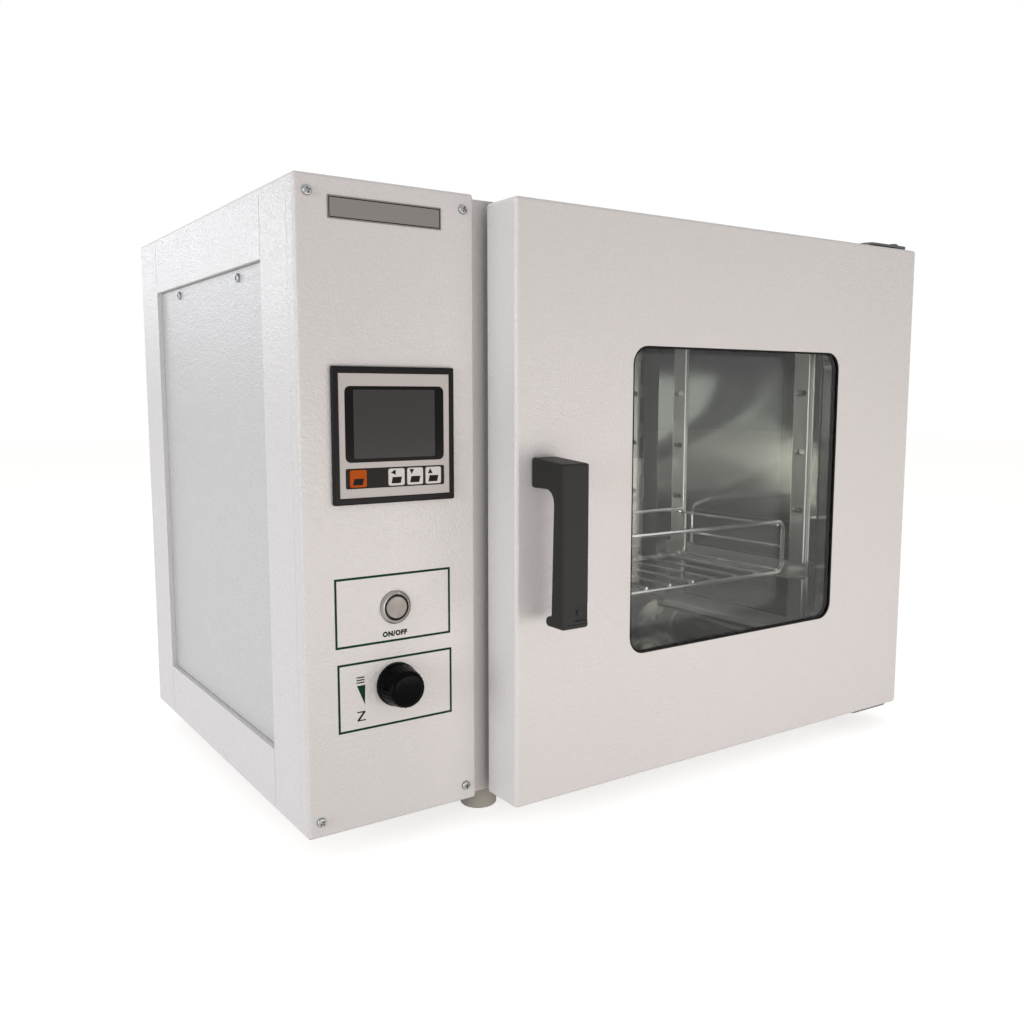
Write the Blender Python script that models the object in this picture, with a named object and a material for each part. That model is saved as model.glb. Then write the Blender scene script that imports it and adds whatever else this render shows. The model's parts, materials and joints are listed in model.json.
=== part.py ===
# Bench-top hot air sterilizer: a control column beside a square chamber with a side-hinged door.
# Metres. X runs to the right, Y to the back, Z up. The pieces are drawn from the cabinet's front left
# bottom corner, and one empty then puts the middle of the footprint on the origin.

import math

import bmesh
import bpy
from mathutils import Vector

# Cabinet
WIDTH = 0.630
COLUMN_WIDTH = 0.140
DEPTH = 0.399
HEIGHT = 0.462
SHEET = 0.0012              # folded steel sheet
BEND = 0.0026               # outer radius of a fold
GAP = 0.0003                # between two pieces that touch
OVERRUN = 0.004             # how far a cutter runs past what it cuts
FLANGE = 0.014              # width of a folded edge
HOLE_CLEARANCE = 0.0003     # round a pin or a shank

# Column front cover
COVER_DEPTH = 0.0125
COVER_SHEET = 0.0015
COVER_SCREW_INSET = 0.0097
COVER_SCREW_RISE = 0.0122

# Screws
SCREW_HEAD_RADIUS = 0.0038
SCREW_HEAD_HEIGHT = 0.0024
SCREW_SHANK_RADIUS = 0.0019
SCREW_SHANK_LENGTH = 0.0095
SCREW_CROWN_SHARES = ((0.62, 0.9), (0.93, 0.45))    # radius and height along the head's dome

# Access cover in the left side panel
ACCESS_FRONT = 0.0642
ACCESS_BACK_MARGIN = 0.0543 # from the cover to the back of the casing
ACCESS_BOTTOM = 0.0485
ACCESS_TOP_MARGIN = 0.050   # from the cover to the top of the casing
ACCESS_RECESS = 0.0045
ACCESS_LEDGE = 0.013
ACCESS_CLEARANCE = 0.0006
ACCESS_SCREW_INSET = 0.0605
ACCESS_SCREW_DROP = 0.0072
CREASE_WIDTH = 0.0009
CREASE_DEPTH = 0.0004
CREASE_MARGIN = 0.005       # from the end of a crease to the panel's edge

# Front frame and chamber
FRAME_SETBACK = 0.010
FRAME_RETURN = 0.015        # how far the frame's sides fold back
STRIP = 0.0125              # width of frame that shows between column and door
CHAMBER_INSET = 0.081       # from the column to the chamber's left wall
CHAMBER_WIDTH = 0.340
CHAMBER_BOTTOM = 0.066
CHAMBER_TOP_MARGIN = 0.071  # from the chamber to the top of the casing
CHAMBER_BACK_MARGIN = 0.099 # from the chamber to the back of the casing
CHAMBER_RADIUS = 0.006
LINER_SHEET = 0.0010
LINER_LIP = 0.026           # flange of the liner over the front frame
JACKET_BACK = 0.041         # insulation behind the liner

# Rear duct plate, fan and heater
PLENUM_DEPTH = 0.043        # from duct plate to the liner's back
DUCT_SHEET = 0.0012
DUCT_RETURN = 0.010
GRID_COUNT = 7
GRID_PITCH = 0.008
GRID_HOLE = 0.0055
OUTLET_COUNT = 6
OUTLET_WIDTH = 0.007
OUTLET_HEIGHT = 0.032
OUTLET_PITCH = 0.046
OUTLET_INSET = 0.026
FAN_RADIUS = 0.074
FAN_EYE_RADIUS = 0.046
FAN_DEPTH = 0.020
FAN_SHEET = 0.0012
FAN_FRONT_CLEARANCE = 0.010
FAN_BLADES = 12
FAN_BLADE_LAG = 0.55        # radians that a blade's tip trails its root
FAN_RING = 0.013
FAN_HUB_RADIUS = 0.012
FAN_HUB_CAP = 0.003
FAN_HUB_CROWN = 0.0096      # radius where the hub's nose starts to slope
FAN_BLADE_STEPS = 5         # straight stretches along a blade
FAN_BLADE_CURVE = 1.5       # power of the radius that a blade's lag follows
SHAFT_RADIUS = 0.004
SHAFT_PASSAGE = 0.007       # radius of the hole round the shaft in liner and insulation
SHAFT_IN_MOTOR = 0.030
MOTOR_RADIUS = 0.042
MOTOR_LENGTH = 0.040
MOTOR_BOSS_RADIUS = 0.016
MOTOR_BOSS_LENGTH = 0.006
MOTOR_PLATE = 0.110
MOTOR_PLATE_SHEET = 0.002
MOTOR_PLATE_RADIUS = 0.006
MOTOR_CAN_CHAMFER = 0.004
HEATER_RING_RADIUS = 0.094
HEATER_TUBE_RADIUS = 0.0040
HEATER_LEG_ANGLE = 0.16     # radians from straight down to each leg
HEATER_LEG_END = 0.008      # length behind the insulation
HEATER_BEND = 0.012
HEATER_BEND_STEPS = 6

# Shelf uprights, runners and wire basket
UPRIGHT_WIDTH = 0.020
UPRIGHT_DEPTH = 0.0050
UPRIGHT_SHEET = 0.0010
UPRIGHT_TOP_GAP = 0.017     # from an upright to the top of the chamber
UPRIGHT_FRONT = 0.030       # from the front frame's face to the first upright's middle
UPRIGHT_BACK_GAP = 0.040    # from the duct plate to the rear upright's middle
SLOT_COUNT = 5
SLOT_TOP_MARGIN = 0.025     # of chamber height left above the slots
SLOT_FIRST = 0.012          # middle of the lowest slot above the chamber floor
SLOT_WIDTH = 0.014
SLOT_HEIGHT = 0.0060
SLOT_ROUND_SHARE = 0.49     # of a slot's width that rounds each of its corners
RUNNER_SHEET = 0.0010
RUNNER_LEDGE = 0.014
RUNNER_DROP = 0.0089        # from a slot's middle to the top of the ledge
RUNNER_TOP = 0.0055         # from a slot's middle to the runner's upper edge
RUNNER_OVERHANG = 0.016     # past the middle of an upright
RUNNER_TAB_WIDTH = 0.010
RUNNER_TAB_HEIGHT = 0.0022
RUNNER_HOOK = 0.0018
RUNNER_SLOTS = (1, 0)       # slot that each pair hangs in, counted from the lowest
BASKET_WIRE = 0.00225       # radius of the loops
BASKET_ROD = 0.0015         # radius of the floor rods
BASKET_FRONT = 0.044        # from the front frame's face to the front loop
BASKET_BACK_GAP = 0.058     # from the duct plate to the rear loop
BASKET_HEIGHT = 0.0535
BASKET_RADIUS = 0.009
BASKET_SIDE_CLEARANCE = 0.0009
BASKET_RODS = 11
BASKET_WELD = 0.0006        # how deep one wire is pressed into another
BASKET_REACH = 0.0020       # how far a floor rod runs past the middle of a loop

# Temperature probe
PROBE_RADIUS = 0.002
PROBE_BACK = 0.110          # from the front frame's face
PROBE_DROP = 0.041          # below the top of the chamber
PROBE_REACH = 0.025
PROBE_COLLAR_RADIUS = 0.005
PROBE_COLLAR = 0.006

# Controller
BEZEL = 0.0965
BEZEL_RADIUS = 0.0012
BEZEL_PROUD = 0.0036
CONTROLLER_MIDDLE = 0.07165
CONTROLLER_RISE = 0.28685
CONTROLLER_CUTOUT = 0.092
CONTROLLER_BODY = 0.0905
CONTROLLER_DEPTH = 0.070
FACE_WIDTH = 0.0881
FACE_HEIGHT = 0.0873
FACE_DEPTH = 0.0027         # of the recess that holds the face
FACE_SHEET = 0.0009
FACE_SUNK = 0.0004
LENS_WIDTH = 0.0786
LENS_HEIGHT = 0.0532
LENS_RISE = 0.00805         # of its middle above the controller's middle
LENS_RADIUS = 0.004
LENS_THICKNESS = 0.0020
STRIP_KEYS_WIDTH = 0.0788
STRIP_KEYS_HEIGHT = 0.0143
STRIP_KEYS_DROP = 0.0298    # of its middle below the controller's middle
STRIP_KEYS_SHEET = 0.0010
STRIP_KEYS_RADIUS = 0.0012
KEY_WIDTH = 0.0128
KEY_HEIGHT = 0.0122
KEY_RADIUS = 0.0014
KEY_PROUD = 0.0005
KEY_THICKNESS = 0.0024
KEY_PITCH = 0.01505
KEY_LAST_INSET = 0.0095     # from the strip's right end to the last key's middle
KEY_FIRST_INSET = 0.0093    # from the strip's left end to the first key's middle
KEY_CLEARANCE = 0.0003

# Push switch
SWITCH_RISE = 0.1615
SWITCH_BEZEL_RADIUS = 0.01235
SWITCH_BEZEL = 0.0018
SWITCH_BARREL_RADIUS = 0.0108
SWITCH_BARREL = 0.030
SWITCH_WELL = 0.0085
SWITCH_BUTTON_RADIUS = 0.0084
SWITCH_BUTTON_PROUD = 0.0010
SWITCH_BUTTON_LENGTH = 0.0055
SWITCH_BUTTON_EDGE = 0.0006
SWITCH_RIM = 0.0010

# Air door: knob, rod, shutter and duct
KNOB_RISE = 0.1039
KNOB_MIDDLE = 0.0710
KNOB_RADIUS = 0.0163
KNOB_TIP_RADIUS = 0.0140
KNOB_LENGTH = 0.0205
KNOB_SKIRT = 0.003
KNOB_SKIRT_STEP = 0.0006    # from the plain skirt to where the flutes start
KNOB_DOME = 0.0035
KNOB_DOME_SHARES = ((0.92, 0.45), (0.68, 0.12))     # radius, and depth behind the tip, over the dome
KNOB_FLUTES = 26
KNOB_FLUTE_DEPTH = 0.0007
KNOB_BORE_DEPTH = 0.012
ROD_RADIUS = 0.003
SHUTTER_OFFSET = 0.032
SHUTTER_RADIUS = 0.0165
SHUTTER_HUB_RADIUS = 0.007
SHUTTER_SHEET = 0.0012
DUCT_RADIUS = 0.0155
DUCT_BORE = 0.0140
DUCT_BEND = 0.030
DUCT_MOUTH = 0.112          # from the column's front to the mouth
DUCT_NECK = 0.008           # straight length before the mouth

# Rear panel
LOUVRE_RISE = 0.004
LOUVRE_HEIGHT = 0.008
LOUVRE_PITCH = 0.015
LOUVRE_HOOD = 0.0024        # of a louvre's height that stays closed at its top
COLUMN_LOUVRES = 6
COLUMN_LOUVRE_WIDTH = 0.080
COLUMN_LOUVRE_TOP = 0.055   # from the panel's top edge to the first louvre
MOTOR_LOUVRES = 4
MOTOR_LOUVRE_WIDTH = 0.120
MOTOR_LOUVRE_SHIFT = 0.070  # from the fan axis to the middle of each bank
INLET_WIDTH = 0.0480
INLET_HEIGHT = 0.0280
INLET_RADIUS = 0.003
INLET_RISE = 0.055
INLET_FLANGE = 0.006
INLET_FLANGE_SHEET = 0.0025
INLET_DEPTH = 0.024
INLET_WALL = 0.0055
INLET_SIDE_WALL = 0.0088
INLET_WELL = 0.017
INLET_CORNER_SHARE = 0.6    # of the well's half height that its upper corners cut off
PIN_WIDTH = 0.0020
PIN_HEIGHT = 0.0060
PIN_LENGTH = 0.012
PIN_SPREAD = 0.0085
PIN_DROP = 0.003

# Feet
FOOT_HEIGHT = 0.022
FOOT_RADIUS = 0.0150
FOOT_TOP_RADIUS = 0.0130
FOOT_COLLAR = 0.004
FOOT_INSET = 0.0245         # of the left feet from the column
FOOT_FLANGE_GAP = 0.002     # between the right feet and the side panel's flange
FOOT_FRONT = 0.036
FOOT_BACK = 0.036

# Door
DOOR_TOP_DROP = 0.005
DOOR_PROUD = 0.037
DOOR_THICKNESS = 0.0395
DOOR_EDGE_RADIUS = 0.003
DOOR_LINER_INSET = 0.0018
WINDOW_WIDTH = 0.2533
WINDOW_HEIGHT = 0.2507
WINDOW_RADIUS = 0.015
WINDOW_INSET = 0.1125
WINDOW_RISE = 0.1038
GLASS = 0.004
GLASS_MARGIN = 0.011
WINDOW_LEDGE = 0.003        # depth of the ledge that backs the outer pane
WINDOW_FLARE = 0.020        # how far the opening widens behind that ledge
GASKET_WIDTH = 0.014
GASKET_INSET_LEFT = 0.0475
GASKET_INSET_RIGHT = 0.048
GASKET_RISE = 0.045
GASKET_DROP = 0.045
GASKET_RADIUS = 0.016
GASKET_GROOVE = 0.0018
GASKET_ROOT_SHARE = 0.35    # of the gasket's height that is straight
GASKET_GROOVE_SHARE = 0.9   # of its height to the groove's floor
GASKET_ANGLES = (0.5, 0.95, 1.35)       # radians along its rounded back

# Hinges
HINGE_INSET = 0.014         # of the axis from the right face
HINGE_DEPTH = 0.017         # of the axis behind the door's face
BRACKET_WIDTH = 0.060
BRACKET_SHEET = 0.0024
BRACKET_RADIUS = 0.007
BRACKET_FRONT = 0.009       # from the axis to the plate's front edge
BRACKET_FLANGE = 0.029
BRACKET_CLEARANCE = 0.002
BRACKET_EDGE = 0.0015       # of the plate from the right face
PIN_RADIUS = 0.004
PIN_IN_DOOR = 0.014
PIN_HEAD_RADIUS = 0.005
PIN_HEAD_FLAT = 0.004       # radius of the flat on the head's top
PIN_HEAD = 0.0026

# Handle
HANDLE_INSET = 0.0135
HANDLE_WIDTH = 0.024
HANDLE_REACH = 0.040
HANDLE_RISE = 0.1455
HANDLE_HEIGHT = 0.1240
HANDLE_BLOCK = 0.0225
HANDLE_PEAK = 0.0030        # how far the top slopes down towards the grip
HANDLE_GRIP_TOP = 0.0122
HANDLE_GRIP_BOTTOM = 0.0148
HANDLE_FILLET = 0.010
HANDLE_LIP_REACH = 0.0215
HANDLE_LIP = 0.0078
HANDLE_LIP_FILLET = 0.0035
HANDLE_FOOT_FILLET = 0.0023
HANDLE_EDGE = 0.0020
HANDLE_EDGE_ANGLE = 1.2     # radians; sharper turns than this are rounded
HANDLE_POCKET = 0.013
HANDLE_POCKET_DEPTH = 0.0012
HANDLE_POCKET_RISE = 0.0055

# Door catch
CATCH_WIDTH = 0.014
CATCH_HEIGHT = 0.044
CATCH_INSET = 0.018
CATCH_CLEARANCE = 0.0010

# Facets
ARC_STEPS = 4               # in a quarter turn of a small fold or corner
ROUND_STEPS = 24            # round a pin, hole or disc
WIRE_SIDES = 8
ROD_SIDES = 6
TUBE_SIDES = 16
WHEEL_STEPS = 36
RING_STEPS = 28
ROUND_PROFILE = 0.5         # a bevel with a circular section
MITRE_LIMIT = 0.5           # least cosine of half a turn that a sheet's corner is widened for
SLOT_STEPS = 2              # in a quarter turn of a slot's end
WINDOW_STEPS = 6            # in a quarter turn of the window's corner
LOOP_STEPS = 5              # in a corner of the gasket or of a hinge plate
KEY_STEPS = 3               # in a key's corner
SMOOTH_ANGLE = 0.6

# Places that follow from these
door_left = COLUMN_WIDTH + STRIP
door_front = -DOOR_PROUD
door_back = door_front + DOOR_THICKNESS
door_height = HEIGHT - DOOR_TOP_DROP
window_left = door_left + WINDOW_INSET
window_right = window_left + WINDOW_WIDTH
window_bottom = WINDOW_RISE
window_top = window_bottom + WINDOW_HEIGHT
chamber_left = COLUMN_WIDTH + CHAMBER_INSET
chamber_right = chamber_left + CHAMBER_WIDTH
chamber_top = HEIGHT - CHAMBER_TOP_MARGIN
chamber_back = DEPTH - CHAMBER_BACK_MARGIN
slot_pitch = (chamber_top - CHAMBER_BOTTOM - SLOT_TOP_MARGIN) / SLOT_COUNT
access_back = DEPTH - ACCESS_BACK_MARGIN
access_top = HEIGHT - ACCESS_TOP_MARGIN
chamber_middle = (chamber_left + chamber_right) / 2
chamber_centre = (CHAMBER_BOTTOM + chamber_top) / 2
duct_plate_front = chamber_back - PLENUM_DEPTH
upright_rows = (FRAME_SETBACK + UPRIGHT_FRONT, duct_plate_front - UPRIGHT_BACK_GAP)
roof_top = HEIGHT - SHEET - GAP
roof_under = roof_top - SHEET
floor_top = SHEET + GAP + SHEET
panel_front = COVER_DEPTH + GAP
back_inside = DEPTH - SHEET - GAP
inner_left = SHEET + GAP
inner_right = WIDTH - SHEET - GAP
frame_right = inner_right
trim_right = frame_right - SHEET - GAP
partition_left = COLUMN_WIDTH + GAP + SHEET + GAP
jacket_left = partition_left + SHEET + GAP
jacket_right = trim_right - BEND - GAP
jacket_front = FRAME_SETBACK + SHEET + GAP
behind_frame = FRAME_SETBACK + BEND + GAP
roof_front = behind_frame + GAP
jacket_back = chamber_back + LINER_SHEET + JACKET_BACK
motor_face = jacket_back + GAP
fan_back = duct_plate_front + DUCT_SHEET + FAN_FRONT_CLEARANCE + FAN_DEPTH
hinge_x = WIDTH - HINGE_INSET
hinge_y = door_front + HINGE_DEPTH
hinge_axis = (hinge_x, hinge_y, 0.0)
switch_x = KNOB_MIDDLE
bezel_back = -GAP
bezel_front = bezel_back - BEZEL_PROUD
recess_floor = bezel_front + FACE_DEPTH
face_front = bezel_front + FACE_SUNK
strip_right = CONTROLLER_MIDDLE + STRIP_KEYS_WIDTH / 2
strip_left = CONTROLLER_MIDDLE - STRIP_KEYS_WIDTH / 2
strip_middle_z = CONTROLLER_RISE - STRIP_KEYS_DROP
duct_run = DUCT_MOUTH + DUCT_NECK + DUCT_BEND
shutter_back = DUCT_MOUTH - GAP
probe_y = FRAME_SETBACK + PROBE_BACK
probe_z = chamber_top - PROBE_DROP
heater_y = fan_back - FAN_DEPTH / 2
rear_reach = DEPTH + LOUVRE_RISE
front_reach = DOOR_PROUD + HANDLE_REACH


# Scene and placing

for old in list(bpy.data.objects):
    bpy.data.objects.remove(old, do_unlink=True)

cabinet_corner = bpy.data.objects.new("cabinet_corner", None)
cabinet_corner.location = (-WIDTH / 2, (front_reach - rear_reach) / 2, FOOT_HEIGHT)
bpy.context.scene.collection.objects.link(cabinet_corner)


def finish_of(name, colour, roughness, metallic=0.0, transmission=0.0):
    """One Principled material."""
    material = bpy.data.materials.new(name)
    material.use_nodes = True
    shader = material.node_tree.nodes["Principled BSDF"]
    shader.inputs["Base Color"].default_value = (*colour, 1.0)
    shader.inputs["Roughness"].default_value = roughness
    shader.inputs["Metallic"].default_value = metallic
    shader.inputs["Transmission Weight"].default_value = transmission
    return material


WHITE_POWDER_COAT = finish_of("white powder coat", (0.68, 0.67, 0.65), 0.45)
GREY_POWDER_COAT = finish_of("grey powder coat", (0.42, 0.41, 0.40), 0.5)
STAINLESS = finish_of("stainless steel", (0.45, 0.45, 0.43), 0.25, metallic=1.0)
ZINC_PLATED = finish_of("zinc plated steel", (0.60, 0.60, 0.58), 0.35, metallic=1.0)
MINERAL_WOOL = finish_of("mineral wool", (0.62, 0.56, 0.38), 0.95)
BLACK_PLASTIC = finish_of("black plastic", (0.012, 0.012, 0.012), 0.3)
HANDLE_PLASTIC = finish_of("dark grey moulded plastic", (0.055, 0.055, 0.052), 0.5)
FACE_PLASTIC = finish_of("light grey plastic", (0.50, 0.47, 0.45), 0.5)
ORANGE_PLASTIC = finish_of("orange key plastic", (0.55, 0.10, 0.01), 0.4)
WHITE_PLASTIC = finish_of("white key plastic", (0.70, 0.70, 0.68), 0.4)
DISPLAY_PLASTIC = finish_of("smoked display window", (0.04, 0.04, 0.038), 0.15)
SILICONE = finish_of("silicone rubber", (0.35, 0.33, 0.30), 0.7)
FOOT_RUBBER = finish_of("grey rubber", (0.20, 0.19, 0.16), 0.8)
GLASS_PANE = finish_of("tempered glass", (0.9, 0.95, 0.92), 0.05, transmission=1.0)


def new_object(name, bm, material=None, pivot=(0.0, 0.0, 0.0)):
    """An object from a bmesh drawn in cabinet coordinates, with its origin at the pivot."""
    bmesh.ops.recalc_face_normals(bm, faces=bm.faces)
    bmesh.ops.translate(bm, vec=-Vector(pivot), verts=bm.verts)
    mesh = bpy.data.meshes.new(name)
    bm.to_mesh(mesh)
    bm.free()
    made = bpy.data.objects.new(name, mesh)
    made.location = pivot
    made.parent = cabinet_corner
    bpy.context.scene.collection.objects.link(made)
    if material:
        mesh.materials.append(material)
    return made


def combine(target, bm, operation):
    """Adds to the target, or takes from it, what the bmesh holds."""
    helper = new_object(f"{target.name}_{operation.lower()}_{len(target.modifiers)}", bm)
    helper.hide_render = True
    helper.display_type = "WIRE"
    step = target.modifiers.new(operation.lower(), "BOOLEAN")
    step.operation = operation
    step.object = helper
    step.use_self = operation == "UNION"
    return target


def smooth(made):
    """Round faces shaded smooth, with sharp edges kept."""
    made.data.shade_smooth()
    made.data.set_sharp_from_angle(angle=SMOOTH_ANGLE)
    return made


# Outlines

def circle(a, b, radius, steps=ROUND_STEPS):
    turn = 2 * math.pi / steps
    return [(a + radius * math.cos(turn * i), b + radius * math.sin(turn * i)) for i in range(steps)]


def fillet(points, radii, steps=ARC_STEPS):
    """A closed outline whose corners are rounded by arcs of the given radii."""
    rounded = []
    for i, (point, radius) in enumerate(zip(points, radii)):
        corner = Vector(point)
        to_last = (Vector(points[i - 1]) - corner).normalized()
        to_next = (Vector(points[(i + 1) % len(points)]) - corner).normalized()
        half = to_last.angle(to_next) / 2
        if radius <= 0 or half > math.pi / 2 - 1e-4:
            rounded.append(tuple(corner))
            continue
        start = corner + to_last * radius / math.tan(half)
        end = corner + to_next * radius / math.tan(half)
        centre = corner + (to_last + to_next).normalized() * radius / math.sin(half)
        first, last = start - centre, end - centre
        sweep = math.atan2(first.cross(last), first.dot(last))
        for step in range(steps + 1):
            angle = sweep * step / steps
            turned = Vector((
                first.x * math.cos(angle) - first.y * math.sin(angle),
                first.x * math.sin(angle) + first.y * math.cos(angle),
            ))
            rounded.append(tuple(centre + turned))
    return rounded


def rectangle(a_low, a_high, b_low, b_high, radius=0.0, steps=ARC_STEPS):
    corners = [(a_low, b_low), (a_high, b_low), (a_high, b_high), (a_low, b_high)]
    return fillet(corners, [radius] * 4, steps)


def folded(path, thickness=SHEET, bend=BEND):
    """The section of a folded sheet: its face follows the path, and the sheet lies on the left of it."""
    points = [Vector(point) for point in path]
    ways = [(after - before).normalized() for before, after in zip(points, points[1:])]
    normals = [Vector((-way.y, way.x)) for way in ways]
    back, face_radii, back_radii = [], [], []
    for i, point in enumerate(points):
        before = normals[max(i - 1, 0)]
        after = normals[min(i, len(normals) - 1)]
        mid = (before + after).normalized()
        back.append(point + mid * thickness / mid.dot(after))
        turn = ways[max(i - 1, 0)].cross(ways[min(i, len(ways) - 1)])
        inner = bend - thickness
        face_radii.append(0.0 if abs(turn) < 1e-6 else bend if turn > 0 else inner)
        back_radii.append(0.0 if abs(turn) < 1e-6 else inner if turn > 0 else bend)
    outline = [tuple(point) for point in points] + [tuple(point) for point in reversed(back)]
    return fillet(outline, face_radii + back_radii[::-1])


# Solids

def put(axis, a, b, along):
    """A point from two coordinates of an outline and one along the axis."""
    if axis == "X":
        return (along, a, b)
    if axis == "Y":
        return (a, along, b)
    return (a, b, along)


def prism(outline, axis, low, high, bm=None):
    """A closed prism over an outline. Outlines are (y, z) along X, (x, z) along Y, (x, y) along Z."""
    bm = bm or bmesh.new()
    ends = [[bm.verts.new(put(axis, a, b, along)) for a, b in outline] for along in (low, high)]
    bm.faces.new(ends[0])
    bm.faces.new(ends[1])
    count = len(outline)
    for i in range(count):
        following = (i + 1) % count
        bm.faces.new((ends[0][i], ends[0][following], ends[1][following], ends[1][i]))
    return bm


def block(low, high, bm=None):
    """A plain box between two corners."""
    outline = rectangle(low[0], high[0], low[1], high[1])
    return prism(outline, "Z", low[2], high[2], bm)


def soft_block(low, high, radius, flat_side, bm=None):
    """A box with rounded edges, except those of the side that stays flat, such as '+Y'."""
    own = block(low, high)
    index = "XYZ".index(flat_side[1])
    level = high[index] if flat_side[0] == "+" else low[index]
    chosen = [
        edge for edge in own.edges
        if not all(abs(vert.co[index] - level) < 1e-6 for vert in edge.verts)
    ]
    bmesh.ops.bevel(
        own, geom=chosen, offset=radius, offset_type="OFFSET", segments=ARC_STEPS - 1,
        profile=ROUND_PROFILE, affect="EDGES", clamp_overlap=True,
    )
    if bm is None:
        return own
    mesh = bpy.data.meshes.new("soft_block")
    own.to_mesh(mesh)
    own.free()
    bm.from_mesh(mesh)
    return bm


def lathe(profile, axis, centre, closed=False, steps=ROUND_STEPS, bm=None):
    """A turned solid: the profile is (radius, place along the axis), and the centre is two coordinates."""
    bm = bm or bmesh.new()
    rings = []
    for radius, along in profile:
        if radius == 0:
            rings.append([bm.verts.new(put(axis, *centre, along))])
            continue
        rings.append([bm.verts.new(put(axis, a, b, along)) for a, b in circle(*centre, radius, steps)])
    pairs = list(zip(rings, rings[1:]))
    if closed:
        pairs.append((rings[-1], rings[0]))
    else:
        for end in (rings[0], rings[-1]):
            if len(end) > 1:
                bm.faces.new(end)
    for first, second in pairs:
        for i in range(steps):
            following = (i + 1) % steps
            loop = [first[i % len(first)], first[following % len(first)]]
            loop += [second[following % len(second)], second[i % len(second)]]
            bm.faces.new(list(dict.fromkeys(loop)))
    return bm


def swept(path, section, closed=False, bore=None, up=(0.0, 0.0, 1.0), bm=None):
    """A solid swept along a path of 3-D points. The section, and any bore, is (side, up) about the path."""
    bm = bm or bmesh.new()
    points = [Vector(point) for point in path]
    count = len(points)
    ways = []
    for i in range(count):
        before = points[i - 1] if closed or i else points[0]
        after = points[(i + 1) % count] if closed or i < count - 1 else points[-1]
        into = (points[i] - before).normalized()
        out = (after - points[i]).normalized()
        ways.append((into + out).normalized())
    upward = Vector(up) - ways[0] * Vector(up).dot(ways[0])
    upward.normalize()
    frames = [upward]
    for before, after in zip(ways, ways[1:]):
        frames.append(before.rotation_difference(after) @ frames[-1])
    skins = []
    for outline in [section] + ([bore] if bore else []):
        rings = []
        for i, (point, way, rise) in enumerate(zip(points, ways, frames)):
            side = way.cross(rise)
            widen = 1.0
            if 0 < i < count - 1 or closed:
                into = (points[i] - points[i - 1]).normalized()
                widen = 1.0 / max(into.dot(way), MITRE_LIMIT)
            ring = []
            bend_way = None
            if widen > 1.0001:
                bend_way = (points[(i + 1) % count] - points[i]).normalized() - into
                bend_way.normalize()
            for a, b in outline:
                offset = side * a + rise * b
                if bend_way:
                    offset += bend_way * offset.dot(bend_way) * (widen - 1.0)
                ring.append(bm.verts.new(point + offset))
            rings.append(ring)
        skins.append(rings)
    sides = len(section)
    for rings in skins:
        pairs = list(zip(rings, rings[1:]))
        if closed:
            pairs.append((rings[-1], rings[0]))
        for first, second in pairs:
            for i in range(sides):
                following = (i + 1) % sides
                bm.faces.new((first[i], first[following], second[following], second[i]))
    if closed:
        return bm
    for end in (0, -1):
        if bore:
            outer, inner = skins[0][end], skins[1][end]
            for i in range(sides):
                following = (i + 1) % sides
                bm.faces.new((outer[i], outer[following], inner[following], inner[i]))
        else:
            bm.faces.new(skins[0][end])
    return bm


def arc(centre, radius, start, end, steps):
    """Points on an arc in a plane, from one angle to another."""
    turn = (end - start) / steps
    return [
        (centre[0] + radius * math.cos(start + turn * i), centre[1] + radius * math.sin(start + turn * i))
        for i in range(steps + 1)
    ]


# Casing

def make_control_panel():
    low = (0.0, 0.0, 0.0)
    high = (COLUMN_WIDTH, COVER_DEPTH, HEIGHT)
    panel = new_object("control_panel", soft_block(low, high, BEND, "+Y"), WHITE_POWDER_COAT)
    inside = soft_block(
        (COVER_SHEET, COVER_SHEET, COVER_SHEET),
        (COLUMN_WIDTH - COVER_SHEET, COVER_DEPTH + OVERRUN, HEIGHT - COVER_SHEET),
        BEND - COVER_SHEET, "+Y",
    )
    combine(panel, inside, "DIFFERENCE")
    half = CONTROLLER_CUTOUT / 2
    cutout = rectangle(
        CONTROLLER_MIDDLE - half, CONTROLLER_MIDDLE + half, CONTROLLER_RISE - half, CONTROLLER_RISE + half,
    )
    holes = prism(cutout, "Y", -OVERRUN, COVER_SHEET + OVERRUN)
    rounds = [
        (switch_x, SWITCH_RISE, SWITCH_BARREL_RADIUS),
        (KNOB_MIDDLE, KNOB_RISE, ROD_RADIUS),
    ]
    rounds += [(x, z, SCREW_SHANK_RADIUS) for x, z in cover_screw_places()]
    for x, z, radius in rounds:
        outline = circle(x, z, radius + HOLE_CLEARANCE)
        prism(outline, "Y", -OVERRUN, COVER_SHEET + OVERRUN, holes)
    combine(panel, holes, "DIFFERENCE")
    smooth(panel)


def cover_screw_places():
    sides = (COVER_SCREW_INSET, COLUMN_WIDTH - COVER_SCREW_INSET)
    levels = (HEIGHT - COVER_SCREW_RISE, COVER_SCREW_RISE)
    return [(x, z) for z in levels for x in sides]


def screw_profile(face, inward):
    """A pan head on the face and a shank behind it: inward is +1 or -1 along the axis."""
    seat = face - inward * GAP
    crown = [
        (SCREW_HEAD_RADIUS * wide, seat - inward * SCREW_HEAD_HEIGHT * high)
        for wide, high in SCREW_CROWN_SHARES
    ]
    return [
        (0.0, seat - inward * SCREW_HEAD_HEIGHT),
        *crown,
        (SCREW_HEAD_RADIUS, seat),
        (SCREW_SHANK_RADIUS, seat),
        (SCREW_SHANK_RADIUS, seat + inward * SCREW_SHANK_LENGTH),
        (0.0, seat + inward * SCREW_SHANK_LENGTH),
    ]


def make_cover_screws():
    for number, (x, z) in enumerate(cover_screw_places(), start=1):
        bm = lathe(screw_profile(0.0, 1), "Y", (x, z), steps=ROUND_STEPS // 2)
        smooth(new_object(f"panel_screw_{number}", bm, ZINC_PLATED))


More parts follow.
